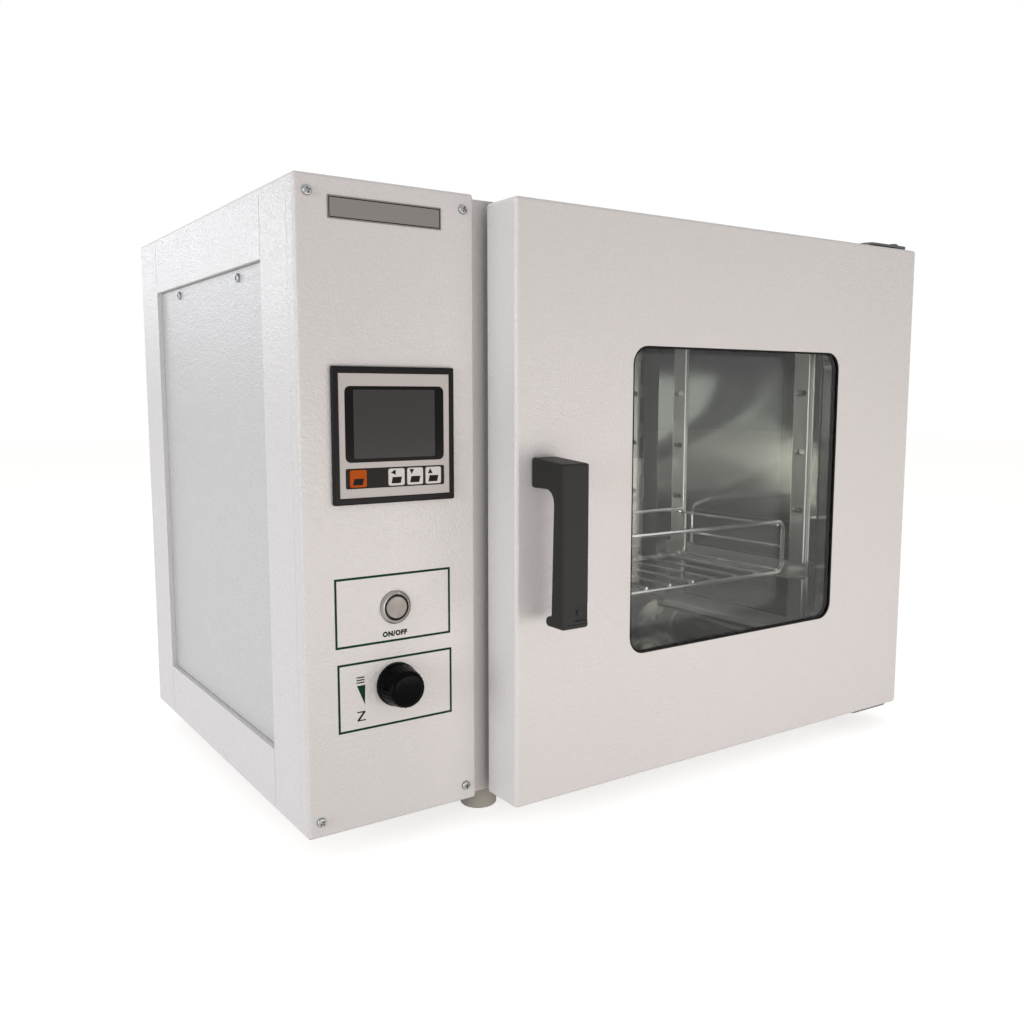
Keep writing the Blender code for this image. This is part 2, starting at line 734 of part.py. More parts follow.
def side_path(outer, inward):
    """The face line of a side panel seen from the front, with the sheet on its left."""
    path = [
        (outer + inward * FLANGE, HEIGHT),
        (outer, HEIGHT),
        (outer, 0.0),
        (outer + inward * FLANGE, 0.0),
    ]
    return path if inward > 0 else path[::-1]


def access_screw_places():
    level = access_top - ACCESS_SCREW_DROP
    return [(ACCESS_FRONT + ACCESS_SCREW_INSET, level), (access_back - ACCESS_SCREW_INSET, level)]


def make_left_side_panel():
    bm = prism(folded(side_path(0.0, 1)), "Y", panel_front, DEPTH)
    panel = new_object("left_side_panel", bm, WHITE_POWDER_COAT)
    ledge_face = ACCESS_RECESS + SHEET + GAP
    surround = block(
        (SHEET / 2, ACCESS_FRONT - SHEET, ACCESS_BOTTOM - SHEET),
        (ledge_face + SHEET, access_back + SHEET, access_top + SHEET),
    )
    combine(panel, surround, "UNION")
    opening = block((-OVERRUN, ACCESS_FRONT, ACCESS_BOTTOM), (ledge_face, access_back, access_top))
    combine(panel, opening, "DIFFERENCE")
    through = block(
        (ledge_face - OVERRUN, ACCESS_FRONT + ACCESS_LEDGE, ACCESS_BOTTOM + ACCESS_LEDGE),
        (ledge_face + SHEET + OVERRUN, access_back - ACCESS_LEDGE, access_top - ACCESS_LEDGE),
    )
    for y, z in access_screw_places():
        outline = circle(y, z, SCREW_SHANK_RADIUS + HOLE_CLEARANCE)
        prism(outline, "X", ledge_face - OVERRUN, ledge_face + SHEET + OVERRUN, through)
    for y in (ACCESS_FRONT, access_back):
        for bottom, end in (
            (CREASE_MARGIN, ACCESS_BOTTOM - SHEET),
            (access_top + SHEET, HEIGHT - CREASE_MARGIN),
        ):
            low = (-OVERRUN, y - CREASE_WIDTH / 2, bottom)
            block(low, (CREASE_DEPTH, y + CREASE_WIDTH / 2, end), through)
    combine(panel, through, "DIFFERENCE")
    smooth(panel)


def make_access_cover():
    inset = ACCESS_CLEARANCE
    bm = block(
        (ACCESS_RECESS, ACCESS_FRONT + inset, ACCESS_BOTTOM + inset),
        (ACCESS_RECESS + SHEET, access_back - inset, access_top - inset),
    )
    cover = new_object("access_cover", bm, WHITE_POWDER_COAT)
    holes = bmesh.new()
    for y, z in access_screw_places():
        outline = circle(y, z, SCREW_SHANK_RADIUS + HOLE_CLEARANCE)
        prism(outline, "X", ACCESS_RECESS - OVERRUN, ACCESS_RECESS + SHEET + OVERRUN, holes)
    combine(cover, holes, "DIFFERENCE")
    for number, (y, z) in enumerate(access_screw_places(), start=1):
        screw = lathe(screw_profile(ACCESS_RECESS, 1), "X", (y, z), steps=ROUND_STEPS // 2)
        smooth(new_object(f"access_cover_screw_{number}", screw, ZINC_PLATED))


def make_right_side_panel():
    bm = prism(folded(side_path(WIDTH, -1)), "Y", behind_frame, DEPTH)
    smooth(new_object("right_side_panel", bm, WHITE_POWDER_COAT))


def make_top_and_base():
    low_edge = roof_top - FLANGE
    roof = [(trim_right, low_edge), (trim_right, roof_top), (inner_left, roof_top), (inner_left, low_edge)]
    bm = prism(folded(roof), "Y", roof_front, back_inside)
    smooth(new_object("top_panel", bm, WHITE_POWDER_COAT))
    under = floor_top - SHEET
    rim = under + FLANGE
    floor = [(inner_left, rim), (inner_left, under), (trim_right, under), (trim_right, rim)]
    bm = prism(folded(floor), "Y", roof_front, back_inside)
    smooth(new_object("base_pan", bm, GREY_POWDER_COAT))


def louvre_banks():
    """Each louvre as its middle in X, its width and its lower edge in Z."""
    places = []
    for row in range(COLUMN_LOUVRES):
        level = roof_top - COLUMN_LOUVRE_TOP - LOUVRE_HEIGHT - row * LOUVRE_PITCH
        places.append((COLUMN_WIDTH / 2, COLUMN_LOUVRE_WIDTH, level))
    for way in (1, -1):
        middle = chamber_centre + way * MOTOR_LOUVRE_SHIFT
        for row in range(MOTOR_LOUVRES):
            level = middle + (row - (MOTOR_LOUVRES - 1) / 2) * LOUVRE_PITCH - LOUVRE_HEIGHT / 2
            places.append((chamber_middle, MOTOR_LOUVRE_WIDTH, level))
    return places


def make_rear_panel():
    face = DEPTH - SHEET
    outline = rectangle(inner_left, inner_right, SHEET + GAP, roof_top, BEND)
    panel = new_object("rear_panel", prism(outline, "Y", face, DEPTH), GREY_POWDER_COAT)
    hoods = bmesh.new()
    cuts = bmesh.new()
    for middle, width, bottom in louvre_banks():
        top = bottom + LOUVRE_HEIGHT
        hood = [(DEPTH - SHEET / 2, bottom), (DEPTH + LOUVRE_RISE, bottom), (DEPTH - SHEET / 2, top)]
        prism(hood, "X", middle - width / 2, middle + width / 2, hoods)
        hollow = [
            (face - OVERRUN, bottom - OVERRUN),
            (DEPTH + LOUVRE_RISE - SHEET, bottom - OVERRUN),
            (DEPTH + LOUVRE_RISE - SHEET, bottom),
            (DEPTH, top - LOUVRE_HOOD),
            (face - OVERRUN, top - LOUVRE_HOOD),
        ]
        prism(hollow, "X", middle - width / 2 + SHEET, middle + width / 2 - SHEET, cuts)
    combine(panel, hoods, "UNION")
    combine(panel, cuts, "DIFFERENCE")
    opening = rectangle(
        COLUMN_WIDTH / 2 - INLET_WIDTH / 2, COLUMN_WIDTH / 2 + INLET_WIDTH / 2,
        INLET_RISE - INLET_HEIGHT / 2, INLET_RISE + INLET_HEIGHT / 2, INLET_RADIUS,
    )
    combine(panel, prism(opening, "Y", face - OVERRUN, DEPTH + OVERRUN), "DIFFERENCE")


def make_power_inlet():
    middle = COLUMN_WIDTH / 2
    half_width = INLET_WIDTH / 2
    half_height = INLET_HEIGHT / 2
    flange_back = DEPTH + GAP
    body = rectangle(
        middle - half_width + GAP, middle + half_width - GAP,
        INLET_RISE - half_height + GAP, INLET_RISE + half_height - GAP, INLET_RADIUS,
    )
    front = DEPTH - INLET_DEPTH
    inlet = new_object("power_inlet", prism(body, "Y", front, flange_back + GAP), BLACK_PLASTIC)
    flange = rectangle(
        middle - half_width - INLET_FLANGE, middle + half_width + INLET_FLANGE,
        INLET_RISE - half_height - INLET_FLANGE / 2, INLET_RISE + half_height + INLET_FLANGE / 2,
        INLET_RADIUS,
    )
    combine(inlet, prism(flange, "Y", flange_back, flange_back + INLET_FLANGE_SHEET), "UNION")
    well_floor = flange_back + INLET_FLANGE_SHEET - INLET_WELL
    wide = half_width - INLET_SIDE_WALL
    high = half_height - INLET_WALL
    corner = high * INLET_CORNER_SHARE
    well = [
        (middle - wide, INLET_RISE - high),
        (middle + wide, INLET_RISE - high),
        (middle + wide, INLET_RISE + high - corner),
        (middle + wide - corner, INLET_RISE + high),
        (middle - wide + corner, INLET_RISE + high),
        (middle - wide, INLET_RISE + high - corner),
    ]
    combine(inlet, prism(well, "Y", well_floor, flange_back + INLET_FLANGE_SHEET + OVERRUN), "DIFFERENCE")
    pins = bmesh.new()
    for shift, rise in ((-PIN_SPREAD, -PIN_DROP / 2), (0.0, PIN_DROP / 2), (PIN_SPREAD, -PIN_DROP / 2)):
        low = (middle + shift - PIN_WIDTH / 2, well_floor - PIN_WIDTH, INLET_RISE + rise - PIN_HEIGHT / 2)
        high_corner = (low[0] + PIN_WIDTH, well_floor + PIN_LENGTH, low[2] + PIN_HEIGHT)
        block(low, high_corner, pins)
    combine(inlet, pins, "UNION")


def make_feet():
    top = SHEET
    profile = [
        (0.0, -FOOT_HEIGHT),
        (FOOT_RADIUS - FOOT_COLLAR / 4, -FOOT_HEIGHT),
        (FOOT_RADIUS, -FOOT_HEIGHT + FOOT_COLLAR / 4),
        (FOOT_RADIUS, -FOOT_HEIGHT + FOOT_COLLAR),
        (FOOT_TOP_RADIUS, -FOOT_HEIGHT + FOOT_COLLAR * 2),
        (FOOT_TOP_RADIUS, top),
        (0.0, top),
    ]
    corners = (("front", FOOT_FRONT), ("rear", DEPTH - FOOT_BACK))
    right = WIDTH - FLANGE - FOOT_FLANGE_GAP - FOOT_TOP_RADIUS
    for end, y in corners:
        for side, x in (("left", COLUMN_WIDTH + FOOT_INSET), ("right", right)):
            bm = lathe(profile, "Z", (x, y))
            smooth(new_object(f"foot_{end}_{side}", bm, FOOT_RUBBER))


# Chamber section

def liner_outline(grow):
    """The chamber's cross-section, grown outwards."""
    return rectangle(
        chamber_left - grow, chamber_right + grow, CHAMBER_BOTTOM - grow, chamber_top + grow,
        CHAMBER_RADIUS + grow,
    )


def make_front_frame():
    left = COLUMN_WIDTH + GAP
    returned = FRAME_SETBACK + FRAME_RETURN
    path = [(left, returned), (left, FRAME_SETBACK), (frame_right, FRAME_SETBACK), (frame_right, returned)]
    frame = new_object("front_frame", prism(folded(path), "Z", 0.0, roof_top), WHITE_POWDER_COAT)
    ends = block(
        (left - OVERRUN, behind_frame, -OVERRUN),
        (frame_right + OVERRUN, returned + OVERRUN, floor_top + GAP),
    )
    block(
        (left - OVERRUN, behind_frame, roof_under - GAP),
        (frame_right + OVERRUN, returned + OVERRUN, roof_top + OVERRUN),
        ends,
    )
    prism(liner_outline(LINER_SHEET + GAP), "Y", FRAME_SETBACK - OVERRUN, FRAME_SETBACK + SHEET + GAP, ends)
    combine(frame, ends, "DIFFERENCE")
    smooth(frame)


def duct_hole(x_low, x_high, clearance, bm):
    """A round cut for the air duct, along X."""
    return prism(circle(duct_run, KNOB_RISE, clearance), "X", x_low, x_high, bm)


def make_partition_wall():
    bm = block(
        (partition_left, behind_frame, floor_top + GAP),
        (partition_left + SHEET, back_inside, roof_under - GAP),
    )
    wall = new_object("partition_wall", bm, ZINC_PLATED)
    x_low, x_high = partition_left - OVERRUN, partition_left + SHEET + OVERRUN
    holes = duct_hole(x_low, x_high, DUCT_RADIUS + HOLE_CLEARANCE, bmesh.new())
    prism(circle(probe_y, probe_z, PROBE_RADIUS + HOLE_CLEARANCE), "X", x_low, x_high, holes)
    combine(wall, holes, "DIFFERENCE")


def rear_passages(radius_growth, y_low, y_high, bm):
    """Cuts along Y for the fan shaft and the heater's legs."""
    prism(circle(chamber_middle, chamber_centre, SHAFT_PASSAGE), "Y", y_low, y_high, bm)
    for x, z in heater_legs():
        prism(circle(x, z, HEATER_TUBE_RADIUS + radius_growth, ROUND_STEPS // 2), "Y", y_low, y_high, bm)
    return bm


def heater_legs():
    places = []
    for way in (-1, 1):
        angle = -math.pi / 2 + way * HEATER_LEG_ANGLE
        places.append((
            chamber_middle + HEATER_RING_RADIUS * math.cos(angle),
            chamber_centre + HEATER_RING_RADIUS * math.sin(angle),
        ))
    return places


def make_chamber_liner():
    lip_front = FRAME_SETBACK - GAP - LINER_SHEET
    bm = prism(liner_outline(LINER_SHEET), "Y", lip_front + LINER_SHEET / 2, chamber_back + LINER_SHEET)
    liner = new_object("chamber_liner", bm, STAINLESS)
    lip = prism(liner_outline(LINER_LIP), "Y", lip_front, lip_front + LINER_SHEET)
    combine(liner, lip, "UNION")
    combine(liner, prism(liner_outline(0.0), "Y", lip_front - OVERRUN, chamber_back), "DIFFERENCE")
    back_low, back_high = chamber_back - OVERRUN, chamber_back + LINER_SHEET + OVERRUN
    holes = rear_passages(HOLE_CLEARANCE, back_low, back_high, bmesh.new())
    side_low = chamber_left - LINER_SHEET - OVERRUN
    duct_hole(side_low, chamber_left + OVERRUN, DUCT_BORE, holes)
    probe_hole = circle(probe_y, probe_z, PROBE_RADIUS + HOLE_CLEARANCE, ROUND_STEPS // 2)
    prism(probe_hole, "X", side_low, chamber_left + OVERRUN, holes)
    combine(liner, holes, "DIFFERENCE")
    smooth(liner)


def make_insulation():
    bm = block(
        (jacket_left, jacket_front, floor_top + GAP),
        (jacket_right, jacket_back, roof_under - GAP),
    )
    jacket = new_object("insulation_jacket", bm, MINERAL_WOOL)
    pocket_back = chamber_back + LINER_SHEET + GAP
    pocket = prism(liner_outline(LINER_SHEET + GAP), "Y", jacket_front - OVERRUN, pocket_back)
    combine(jacket, pocket, "DIFFERENCE")
    holes = rear_passages(HOLE_CLEARANCE, pocket_back - OVERRUN, jacket_back + OVERRUN, bmesh.new())
    x_low, x_high = jacket_left - OVERRUN, chamber_left - LINER_SHEET
    duct_hole(x_low, x_high, DUCT_RADIUS + HOLE_CLEARANCE, holes)
    prism(circle(probe_y, probe_z, PROBE_RADIUS + HOLE_CLEARANCE), "X", x_low, x_high, holes)
    combine(jacket, holes, "DIFFERENCE")


def make_duct_plate():
    low = (chamber_left + GAP, duct_plate_front, CHAMBER_BOTTOM + GAP)
    high = (chamber_right - GAP, duct_plate_front + DUCT_RETURN, chamber_top - GAP)
    outer = rectangle(low[0], high[0], low[2], high[2], CHAMBER_RADIUS)
    inner = rectangle(
        low[0] + DUCT_SHEET, high[0] - DUCT_SHEET, low[2] + DUCT_SHEET, high[2] - DUCT_SHEET,
        CHAMBER_RADIUS - DUCT_SHEET,
    )
    plate = new_object("duct_plate", prism(outer, "Y", low[1], high[1]), STAINLESS)
    hollow = prism(inner, "Y", low[1] + DUCT_SHEET, high[1] + OVERRUN)
    combine(plate, hollow, "DIFFERENCE")
    holes = bmesh.new()
    cut_low, cut_high = low[1] - OVERRUN, low[1] + DUCT_SHEET + OVERRUN
    first = -(GRID_COUNT - 1) * GRID_PITCH / 2
    for column in range(GRID_COUNT):
        for row in range(GRID_COUNT):
            x = chamber_middle + first + column * GRID_PITCH
            z = chamber_centre + first + row * GRID_PITCH
            half = GRID_HOLE / 2
            prism(rectangle(x - half, x + half, z - half, z + half), "Y", cut_low, cut_high, holes)
    outlets = -(OUTLET_COUNT - 1) * OUTLET_PITCH / 2
    for x in (chamber_left + OUTLET_INSET, chamber_right - OUTLET_INSET):
        for row in range(OUTLET_COUNT):
            z = chamber_centre + outlets + row * OUTLET_PITCH
            slot = rectangle(
                x - OUTLET_WIDTH / 2, x + OUTLET_WIDTH / 2, z - OUTLET_HEIGHT / 2, z + OUTLET_HEIGHT / 2,
                OUTLET_WIDTH * SLOT_ROUND_SHARE, SLOT_STEPS,
            )
            prism(slot, "Y", cut_low, cut_high, holes)
    combine(plate, holes, "DIFFERENCE")
    smooth(plate)


def upright_places():
    """Name, place in Y, wall in X, and the way from that wall into the chamber."""
    places = []
    for end, y in zip(("front", "rear"), upright_rows):
        places.append((f"{end}_left", y, chamber_left, 1))
        places.append((f"{end}_right", y, chamber_right, -1))
    return places


def slot_level(number):
    return CHAMBER_BOTTOM + SLOT_FIRST + number * slot_pitch


def make_uprights():
    for name, y, wall, way in upright_places():
        face = wall + way * UPRIGHT_DEPTH
        foot = wall + way * GAP
        half = UPRIGHT_WIDTH / 2
        path = [(foot, y - half), (face, y - half), (face, y + half), (foot, y + half)]
        if way < 0:
            path = path[::-1]
        section = folded(path, UPRIGHT_SHEET, UPRIGHT_SHEET * 2)
        bottom = CHAMBER_BOTTOM + CHAMBER_RADIUS
        top = chamber_top - UPRIGHT_TOP_GAP
        upright = new_object(f"shelf_upright_{name}", prism(section, "Z", bottom, top), STAINLESS)
        slots = bmesh.new()
        cut = sorted((face + way * OVERRUN, face - way * UPRIGHT_SHEET * 2))
        for number in range(SLOT_COUNT):
            level = slot_level(number)
            slot = rectangle(
                y - SLOT_WIDTH / 2, y + SLOT_WIDTH / 2, level - SLOT_HEIGHT / 2, level + SLOT_HEIGHT / 2,
                SLOT_HEIGHT * SLOT_ROUND_SHARE, SLOT_STEPS,
            )
            prism(slot, "X", cut[0], cut[1], slots)
        combine(upright, slots, "DIFFERENCE")
        smooth(upright)


def runner_face(wall, way):
    """Place in X of a runner's chamber side."""
    return wall + way * (UPRIGHT_DEPTH + GAP + RUNNER_SHEET)


def make_runners():
    front = upright_rows[0] - RUNNER_OVERHANG
    back = upright_rows[1] + RUNNER_OVERHANG
    for number, slot in enumerate(RUNNER_SLOTS, start=1):
        for side, wall, way in (("left", chamber_left, 1), ("right", chamber_right, -1)):
            level = slot_level(slot)
            under = level - RUNNER_DROP - RUNNER_SHEET
            face = runner_face(wall, way)
            web = face - way * RUNNER_SHEET
            path = [(web, level + RUNNER_TOP), (web, under), (face + way * RUNNER_LEDGE, under)]
            if way < 0:
                path = path[::-1]
            outline = folded(path, RUNNER_SHEET, RUNNER_SHEET * 2)
            runner = new_object(
                f"shelf_runner_{side}_{number}", prism(outline, "Y", front, back), STAINLESS,
            )
            tabs = bmesh.new()
            hook_x = wall + way * (UPRIGHT_DEPTH - UPRIGHT_SHEET - GAP)
            for y in upright_rows:
                root = face - way * RUNNER_SHEET / 2
                end = hook_x - way * RUNNER_SHEET
                low_z = level - RUNNER_TAB_HEIGHT / 2
                lip = [
                    (root, low_z), (hook_x, low_z), (hook_x, low_z - RUNNER_HOOK),
                    (end, low_z - RUNNER_HOOK), (end, low_z + RUNNER_TAB_HEIGHT),
                    (root, low_z + RUNNER_TAB_HEIGHT),
                ]
                prism(lip, "Y", y - RUNNER_TAB_WIDTH / 2, y + RUNNER_TAB_WIDTH / 2, tabs)
            combine(runner, tabs, "UNION")
            smooth(runner)


def make_wire_basket():
    ledge = slot_level(RUNNER_SLOTS[0]) - RUNNER_DROP
    low_z = ledge + GAP + BASKET_WIRE
    high_z = low_z + BASKET_HEIGHT
    left = runner_face(chamber_left, 1) + BASKET_SIDE_CLEARANCE + BASKET_WIRE
    right = runner_face(chamber_right, -1) - BASKET_SIDE_CLEARANCE - BASKET_WIRE
    front = FRAME_SETBACK + BASKET_FRONT
    back = duct_plate_front - BASKET_BACK_GAP
    pivot = ((left + right) / 2, front, low_z)
    wire = circle(0.0, 0.0, BASKET_WIRE, WIRE_SIDES)
    rod = circle(0.0, 0.0, BASKET_ROD, ROD_SIDES)
    loop = rectangle(left, right, low_z, high_z, BASKET_RADIUS)
    basket = new_object(
        "wire_basket",
        swept([(x, front, z) for x, z in loop], wire, closed=True, up=(0.0, 1.0, 0.0)),
        STAINLESS, pivot,
    )
    others = swept([(x, back, z) for x, z in loop], wire, closed=True, up=(0.0, 1.0, 0.0))
    reach = BASKET_REACH
    floor_z = low_z + BASKET_WIRE + BASKET_ROD - BASKET_WELD
    inset = BASKET_RADIUS + BASKET_ROD
    pitch = (right - left - 2 * inset) / (BASKET_RODS - 1)
    for number in range(BASKET_RODS):
        x = left + inset + number * pitch
        swept([(x, front - reach, floor_z), (x, back + reach, floor_z)], rod, bm=others)
    middle = (low_z + high_z) / 2
    for x in (left, right):
        swept([(x, front, middle), (x, back, middle)], rod, bm=others)
    for x, z in ((left + inset, high_z), (right - inset, high_z)):
        top_z = z - BASKET_WIRE - BASKET_ROD + BASKET_WELD
        swept([(x, front - reach, top_z), (x, back + reach, top_z)], rod, bm=others)
    combine(basket, others, "UNION")
    smooth(basket)


# Fan, heater and probe

def blade_outline(start):
    """A backward-curved blade, seen from the front, from its root at the given angle."""
    line = []
    for step in range(FAN_BLADE_STEPS + 1):
        share = step / FAN_BLADE_STEPS
        radius = FAN_EYE_RADIUS + (FAN_RADIUS - FAN_SHEET - FAN_EYE_RADIUS) * share
        angle = start - FAN_BLADE_LAG * share ** FAN_BLADE_CURVE
        line.append(Vector((radius * math.cos(angle), radius * math.sin(angle))))
    faces = []
    for side in (1, -1):
        face = []
        for i, point in enumerate(line):
            way = (line[min(i + 1, FAN_BLADE_STEPS)] - line[max(i - 1, 0)]).normalized()
            face.append(point + Vector((-way.y, way.x)) * side * FAN_SHEET / 2)
        faces.append(face)
    outline = faces[0] + faces[1][::-1]
    return [(chamber_middle + point.x, chamber_centre + point.y) for point in outline]


def make_fan():
    pivot = (chamber_middle, fan_back, chamber_centre)
    centre = (chamber_middle, chamber_centre)
    front = fan_back - FAN_DEPTH
    bore = SHAFT_RADIUS + HOLE_CLEARANCE
    hub_front = front + FAN_SHEET
    hub_back = fan_back + FAN_HUB_CAP
    disc = [
        (0.0, hub_front),
        (FAN_HUB_CROWN, hub_front),
        (FAN_HUB_RADIUS, hub_front + FAN_HUB_CAP),
        (FAN_HUB_RADIUS, fan_back - FAN_SHEET),
        (FAN_RADIUS, fan_back - FAN_SHEET),
        (FAN_RADIUS, fan_back),
        (FAN_HUB_RADIUS, fan_back),
        (FAN_HUB_RADIUS, hub_back),
        (bore, hub_back),
        (bore, hub_front + FAN_HUB_CAP),
        (0.0, hub_front + FAN_HUB_CAP),
    ]
    wheel = new_object("fan_wheel", lathe(disc, "Y", centre, steps=WHEEL_STEPS), ZINC_PLATED, pivot)
    extras = bmesh.new()
    for number in range(FAN_BLADES):
        outline = blade_outline(2 * math.pi * number / FAN_BLADES)
        prism(outline, "Y", front + FAN_SHEET / 2, fan_back - FAN_SHEET / 2, extras)
    ring = [
        (FAN_RADIUS, front),
        (FAN_RADIUS, front + FAN_SHEET),
        (FAN_RADIUS - FAN_RING, front + FAN_SHEET),
        (FAN_RADIUS - FAN_RING, front),
    ]
    lathe(ring, "Y", centre, closed=True, steps=WHEEL_STEPS, bm=extras)
    combine(wheel, extras, "UNION")
    smooth(wheel)
    shaft_front = hub_front + FAN_HUB_CAP + GAP
    shaft_back = motor_face + MOTOR_PLATE_SHEET + SHAFT_IN_MOTOR
    rod = prism(circle(*centre, SHAFT_RADIUS), "Y", shaft_front, shaft_back)
    smooth(new_object("fan_shaft", rod, ZINC_PLATED, pivot))


def make_fan_motor():
    centre = (chamber_middle, chamber_centre)
    plate_back = motor_face + MOTOR_PLATE_SHEET
    body_back = plate_back + MOTOR_LENGTH
    bore = SHAFT_RADIUS + HOLE_CLEARANCE
    bore_end = plate_back + SHAFT_IN_MOTOR + GAP
    profile = [
        (0.0, motor_face + MOTOR_PLATE_SHEET / 2),
        (MOTOR_RADIUS - MOTOR_CAN_CHAMFER, motor_face + MOTOR_PLATE_SHEET / 2),
        (MOTOR_RADIUS, plate_back + MOTOR_PLATE_SHEET),
        (MOTOR_RADIUS, body_back - MOTOR_PLATE_SHEET),
        (MOTOR_RADIUS - MOTOR_CAN_CHAMFER, body_back),
        (MOTOR_BOSS_RADIUS, body_back),
        (MOTOR_BOSS_RADIUS, body_back + MOTOR_BOSS_LENGTH),
        (0.0, body_back + MOTOR_BOSS_LENGTH),
    ]
    motor = new_object("fan_motor", lathe(profile, "Y", centre, steps=WHEEL_STEPS), ZINC_PLATED)
    half = MOTOR_PLATE / 2
    plate = rectangle(
        chamber_middle - half, chamber_middle + half, chamber_centre - half, chamber_centre + half,
        MOTOR_PLATE_RADIUS,
    )
    combine(motor, prism(plate, "Y", motor_face, plate_back), "UNION")
    hole = prism(circle(*centre, bore), "Y", motor_face - OVERRUN, bore_end)
    combine(motor, hole, "DIFFERENCE")
    smooth(motor)


def make_heater():
    start = -math.pi / 2 + HEATER_LEG_ANGLE
    end = start + 2 * math.pi - 2 * HEATER_LEG_ANGLE
    ring = [
        Vector((x, heater_y, z))
        for x, z in arc((chamber_middle, chamber_centre), HEATER_RING_RADIUS, start, end, RING_STEPS)
    ]
    leg_back = jacket_back + HEATER_LEG_END

    def leg(tip, nearest):
        """From the back to the ring's end, round one bend."""
        along = (nearest - tip).normalized() * HEATER_BEND
        forward = Vector((0.0, -HEATER_BEND, 0.0))
        points = [Vector((tip.x, leg_back, tip.z))]
        for step in range(HEATER_BEND_STEPS + 1):
            angle = math.pi / 2 * step / HEATER_BEND_STEPS
            points.append(tip - forward + along * (1 - math.cos(angle)) + forward * math.sin(angle))
        return points

    skip = 2 + int(HEATER_BEND / HEATER_RING_RADIUS / ((end - start) / RING_STEPS))
    path = leg(ring[0], ring[1]) + ring[skip:-skip] + leg(ring[-1], ring[-2])[::-1]
    tube = swept(path, circle(0.0, 0.0, HEATER_TUBE_RADIUS, WIRE_SIDES), up=(1.0, 0.0, 0.0))
    smooth(new_object("heater_element", tube, STAINLESS))


def make_probe():
    collar_right = partition_left - GAP
    profile = [
        (0.0, collar_right - PROBE_COLLAR),
        (PROBE_COLLAR_RADIUS, collar_right - PROBE_COLLAR),
        (PROBE_COLLAR_RADIUS, collar_right),
        (PROBE_RADIUS, collar_right),
        (PROBE_RADIUS, chamber_left + PROBE_REACH - PROBE_RADIUS),
        (0.0, chamber_left + PROBE_REACH),
    ]
    rod = lathe(profile, "X", (probe_y, probe_z), steps=TUBE_SIDES)
    smooth(new_object("temperature_probe", rod, STAINLESS))


# Controls on the column

def make_controller():
    middle, rise = CONTROLLER_MIDDLE, CONTROLLER_RISE
    half = BEZEL / 2
    bezel = soft_block(
        (middle - half, bezel_front, rise - half), (middle + half, bezel_back, rise + half),
        BEZEL_RADIUS, "+Y",
    )
    case = new_object("controller_case", bezel, BLACK_PLASTIC)
    half = CONTROLLER_BODY / 2
    body = block(
        (middle - half, bezel_back - BEZEL_PROUD / 4, rise - half),
        (middle + half, CONTROLLER_DEPTH, rise + half),
    )
    combine(case, body, "UNION")
    well = block(
        (middle - FACE_WIDTH / 2, bezel_front - OVERRUN, rise - FACE_HEIGHT / 2),
        (middle + FACE_WIDTH / 2, recess_floor, rise + FACE_HEIGHT / 2),
    )
    combine(case, well, "DIFFERENCE")
    smooth(case)

    face_back = face_front + FACE_SHEET
    bm = block(
        (middle - FACE_WIDTH / 2 + GAP, face_front, rise - FACE_HEIGHT / 2 + GAP),
        (middle + FACE_WIDTH / 2 - GAP, face_back, rise + FACE_HEIGHT / 2 - GAP),
    )
    face = new_object("controller_face", bm, FACE_PLASTIC)
    lens_z = rise + LENS_RISE
    lens = rectangle(
        middle - LENS_WIDTH / 2, middle + LENS_WIDTH / 2, lens_z - LENS_HEIGHT / 2, lens_z + LENS_HEIGHT / 2,
        LENS_RADIUS,
    )
    openings = prism(lens, "Y", face_front - OVERRUN, face_back + OVERRUN)
    strip = rectangle(
        strip_left, strip_right, strip_middle_z - STRIP_KEYS_HEIGHT / 2,
        strip_middle_z + STRIP_KEYS_HEIGHT / 2, STRIP_KEYS_RADIUS,
    )
    prism(strip, "Y", face_front - OVERRUN, face_back + OVERRUN, openings)
    combine(face, openings, "DIFFERENCE")

    lens = rectangle(
        middle - LENS_WIDTH / 2 + GAP, middle + LENS_WIDTH / 2 - GAP,
        lens_z - LENS_HEIGHT / 2 + GAP, lens_z + LENS_HEIGHT / 2 - GAP, LENS_RADIUS - GAP,
    )
    lens_front = face_front - FACE_SUNK / 2
    window = prism(lens, "Y", lens_front, lens_front + LENS_THICKNESS)
    smooth(new_object("display_lens", window, DISPLAY_PLASTIC))


def key_places():
    """Middle in X of each key: the first stands apart, the others share a pitch."""
    last = strip_right - KEY_LAST_INSET
    return [strip_left + KEY_FIRST_INSET] + [last - KEY_PITCH * step for step in (2, 1, 0)]


def key_outline(x, grow):
    return rectangle(
        x - KEY_WIDTH / 2 - grow, x + KEY_WIDTH / 2 + grow,
        strip_middle_z - KEY_HEIGHT / 2 - grow, strip_middle_z + KEY_HEIGHT / 2 + grow,
        KEY_RADIUS + grow, KEY_STEPS,
    )


def make_keys():
    strip = rectangle(
        strip_left + GAP, strip_right - GAP, strip_middle_z - STRIP_KEYS_HEIGHT / 2 + GAP,
        strip_middle_z + STRIP_KEYS_HEIGHT / 2 - GAP, STRIP_KEYS_RADIUS - GAP,
    )
    strip_front = face_front - FACE_SUNK / 2
    bm = prism(strip, "Y", strip_front, strip_front + STRIP_KEYS_SHEET)
    mask = new_object("key_strip", bm, BLACK_PLASTIC)
    windows = bmesh.new()
    for x in key_places():
        prism(key_outline(x, KEY_CLEARANCE), "Y", strip_front - OVERRUN, strip_front + OVERRUN, windows)
    combine(mask, windows, "DIFFERENCE")
    front = strip_front - KEY_PROUD
    for number, x in enumerate(key_places(), start=1):
        colour = ORANGE_PLASTIC if number == 1 else WHITE_PLASTIC
        bm = prism(key_outline(x, 0.0), "Y", front, front + KEY_THICKNESS)
        smooth(new_object(f"key_{number}", bm, colour, (x, front, strip_middle_z)))


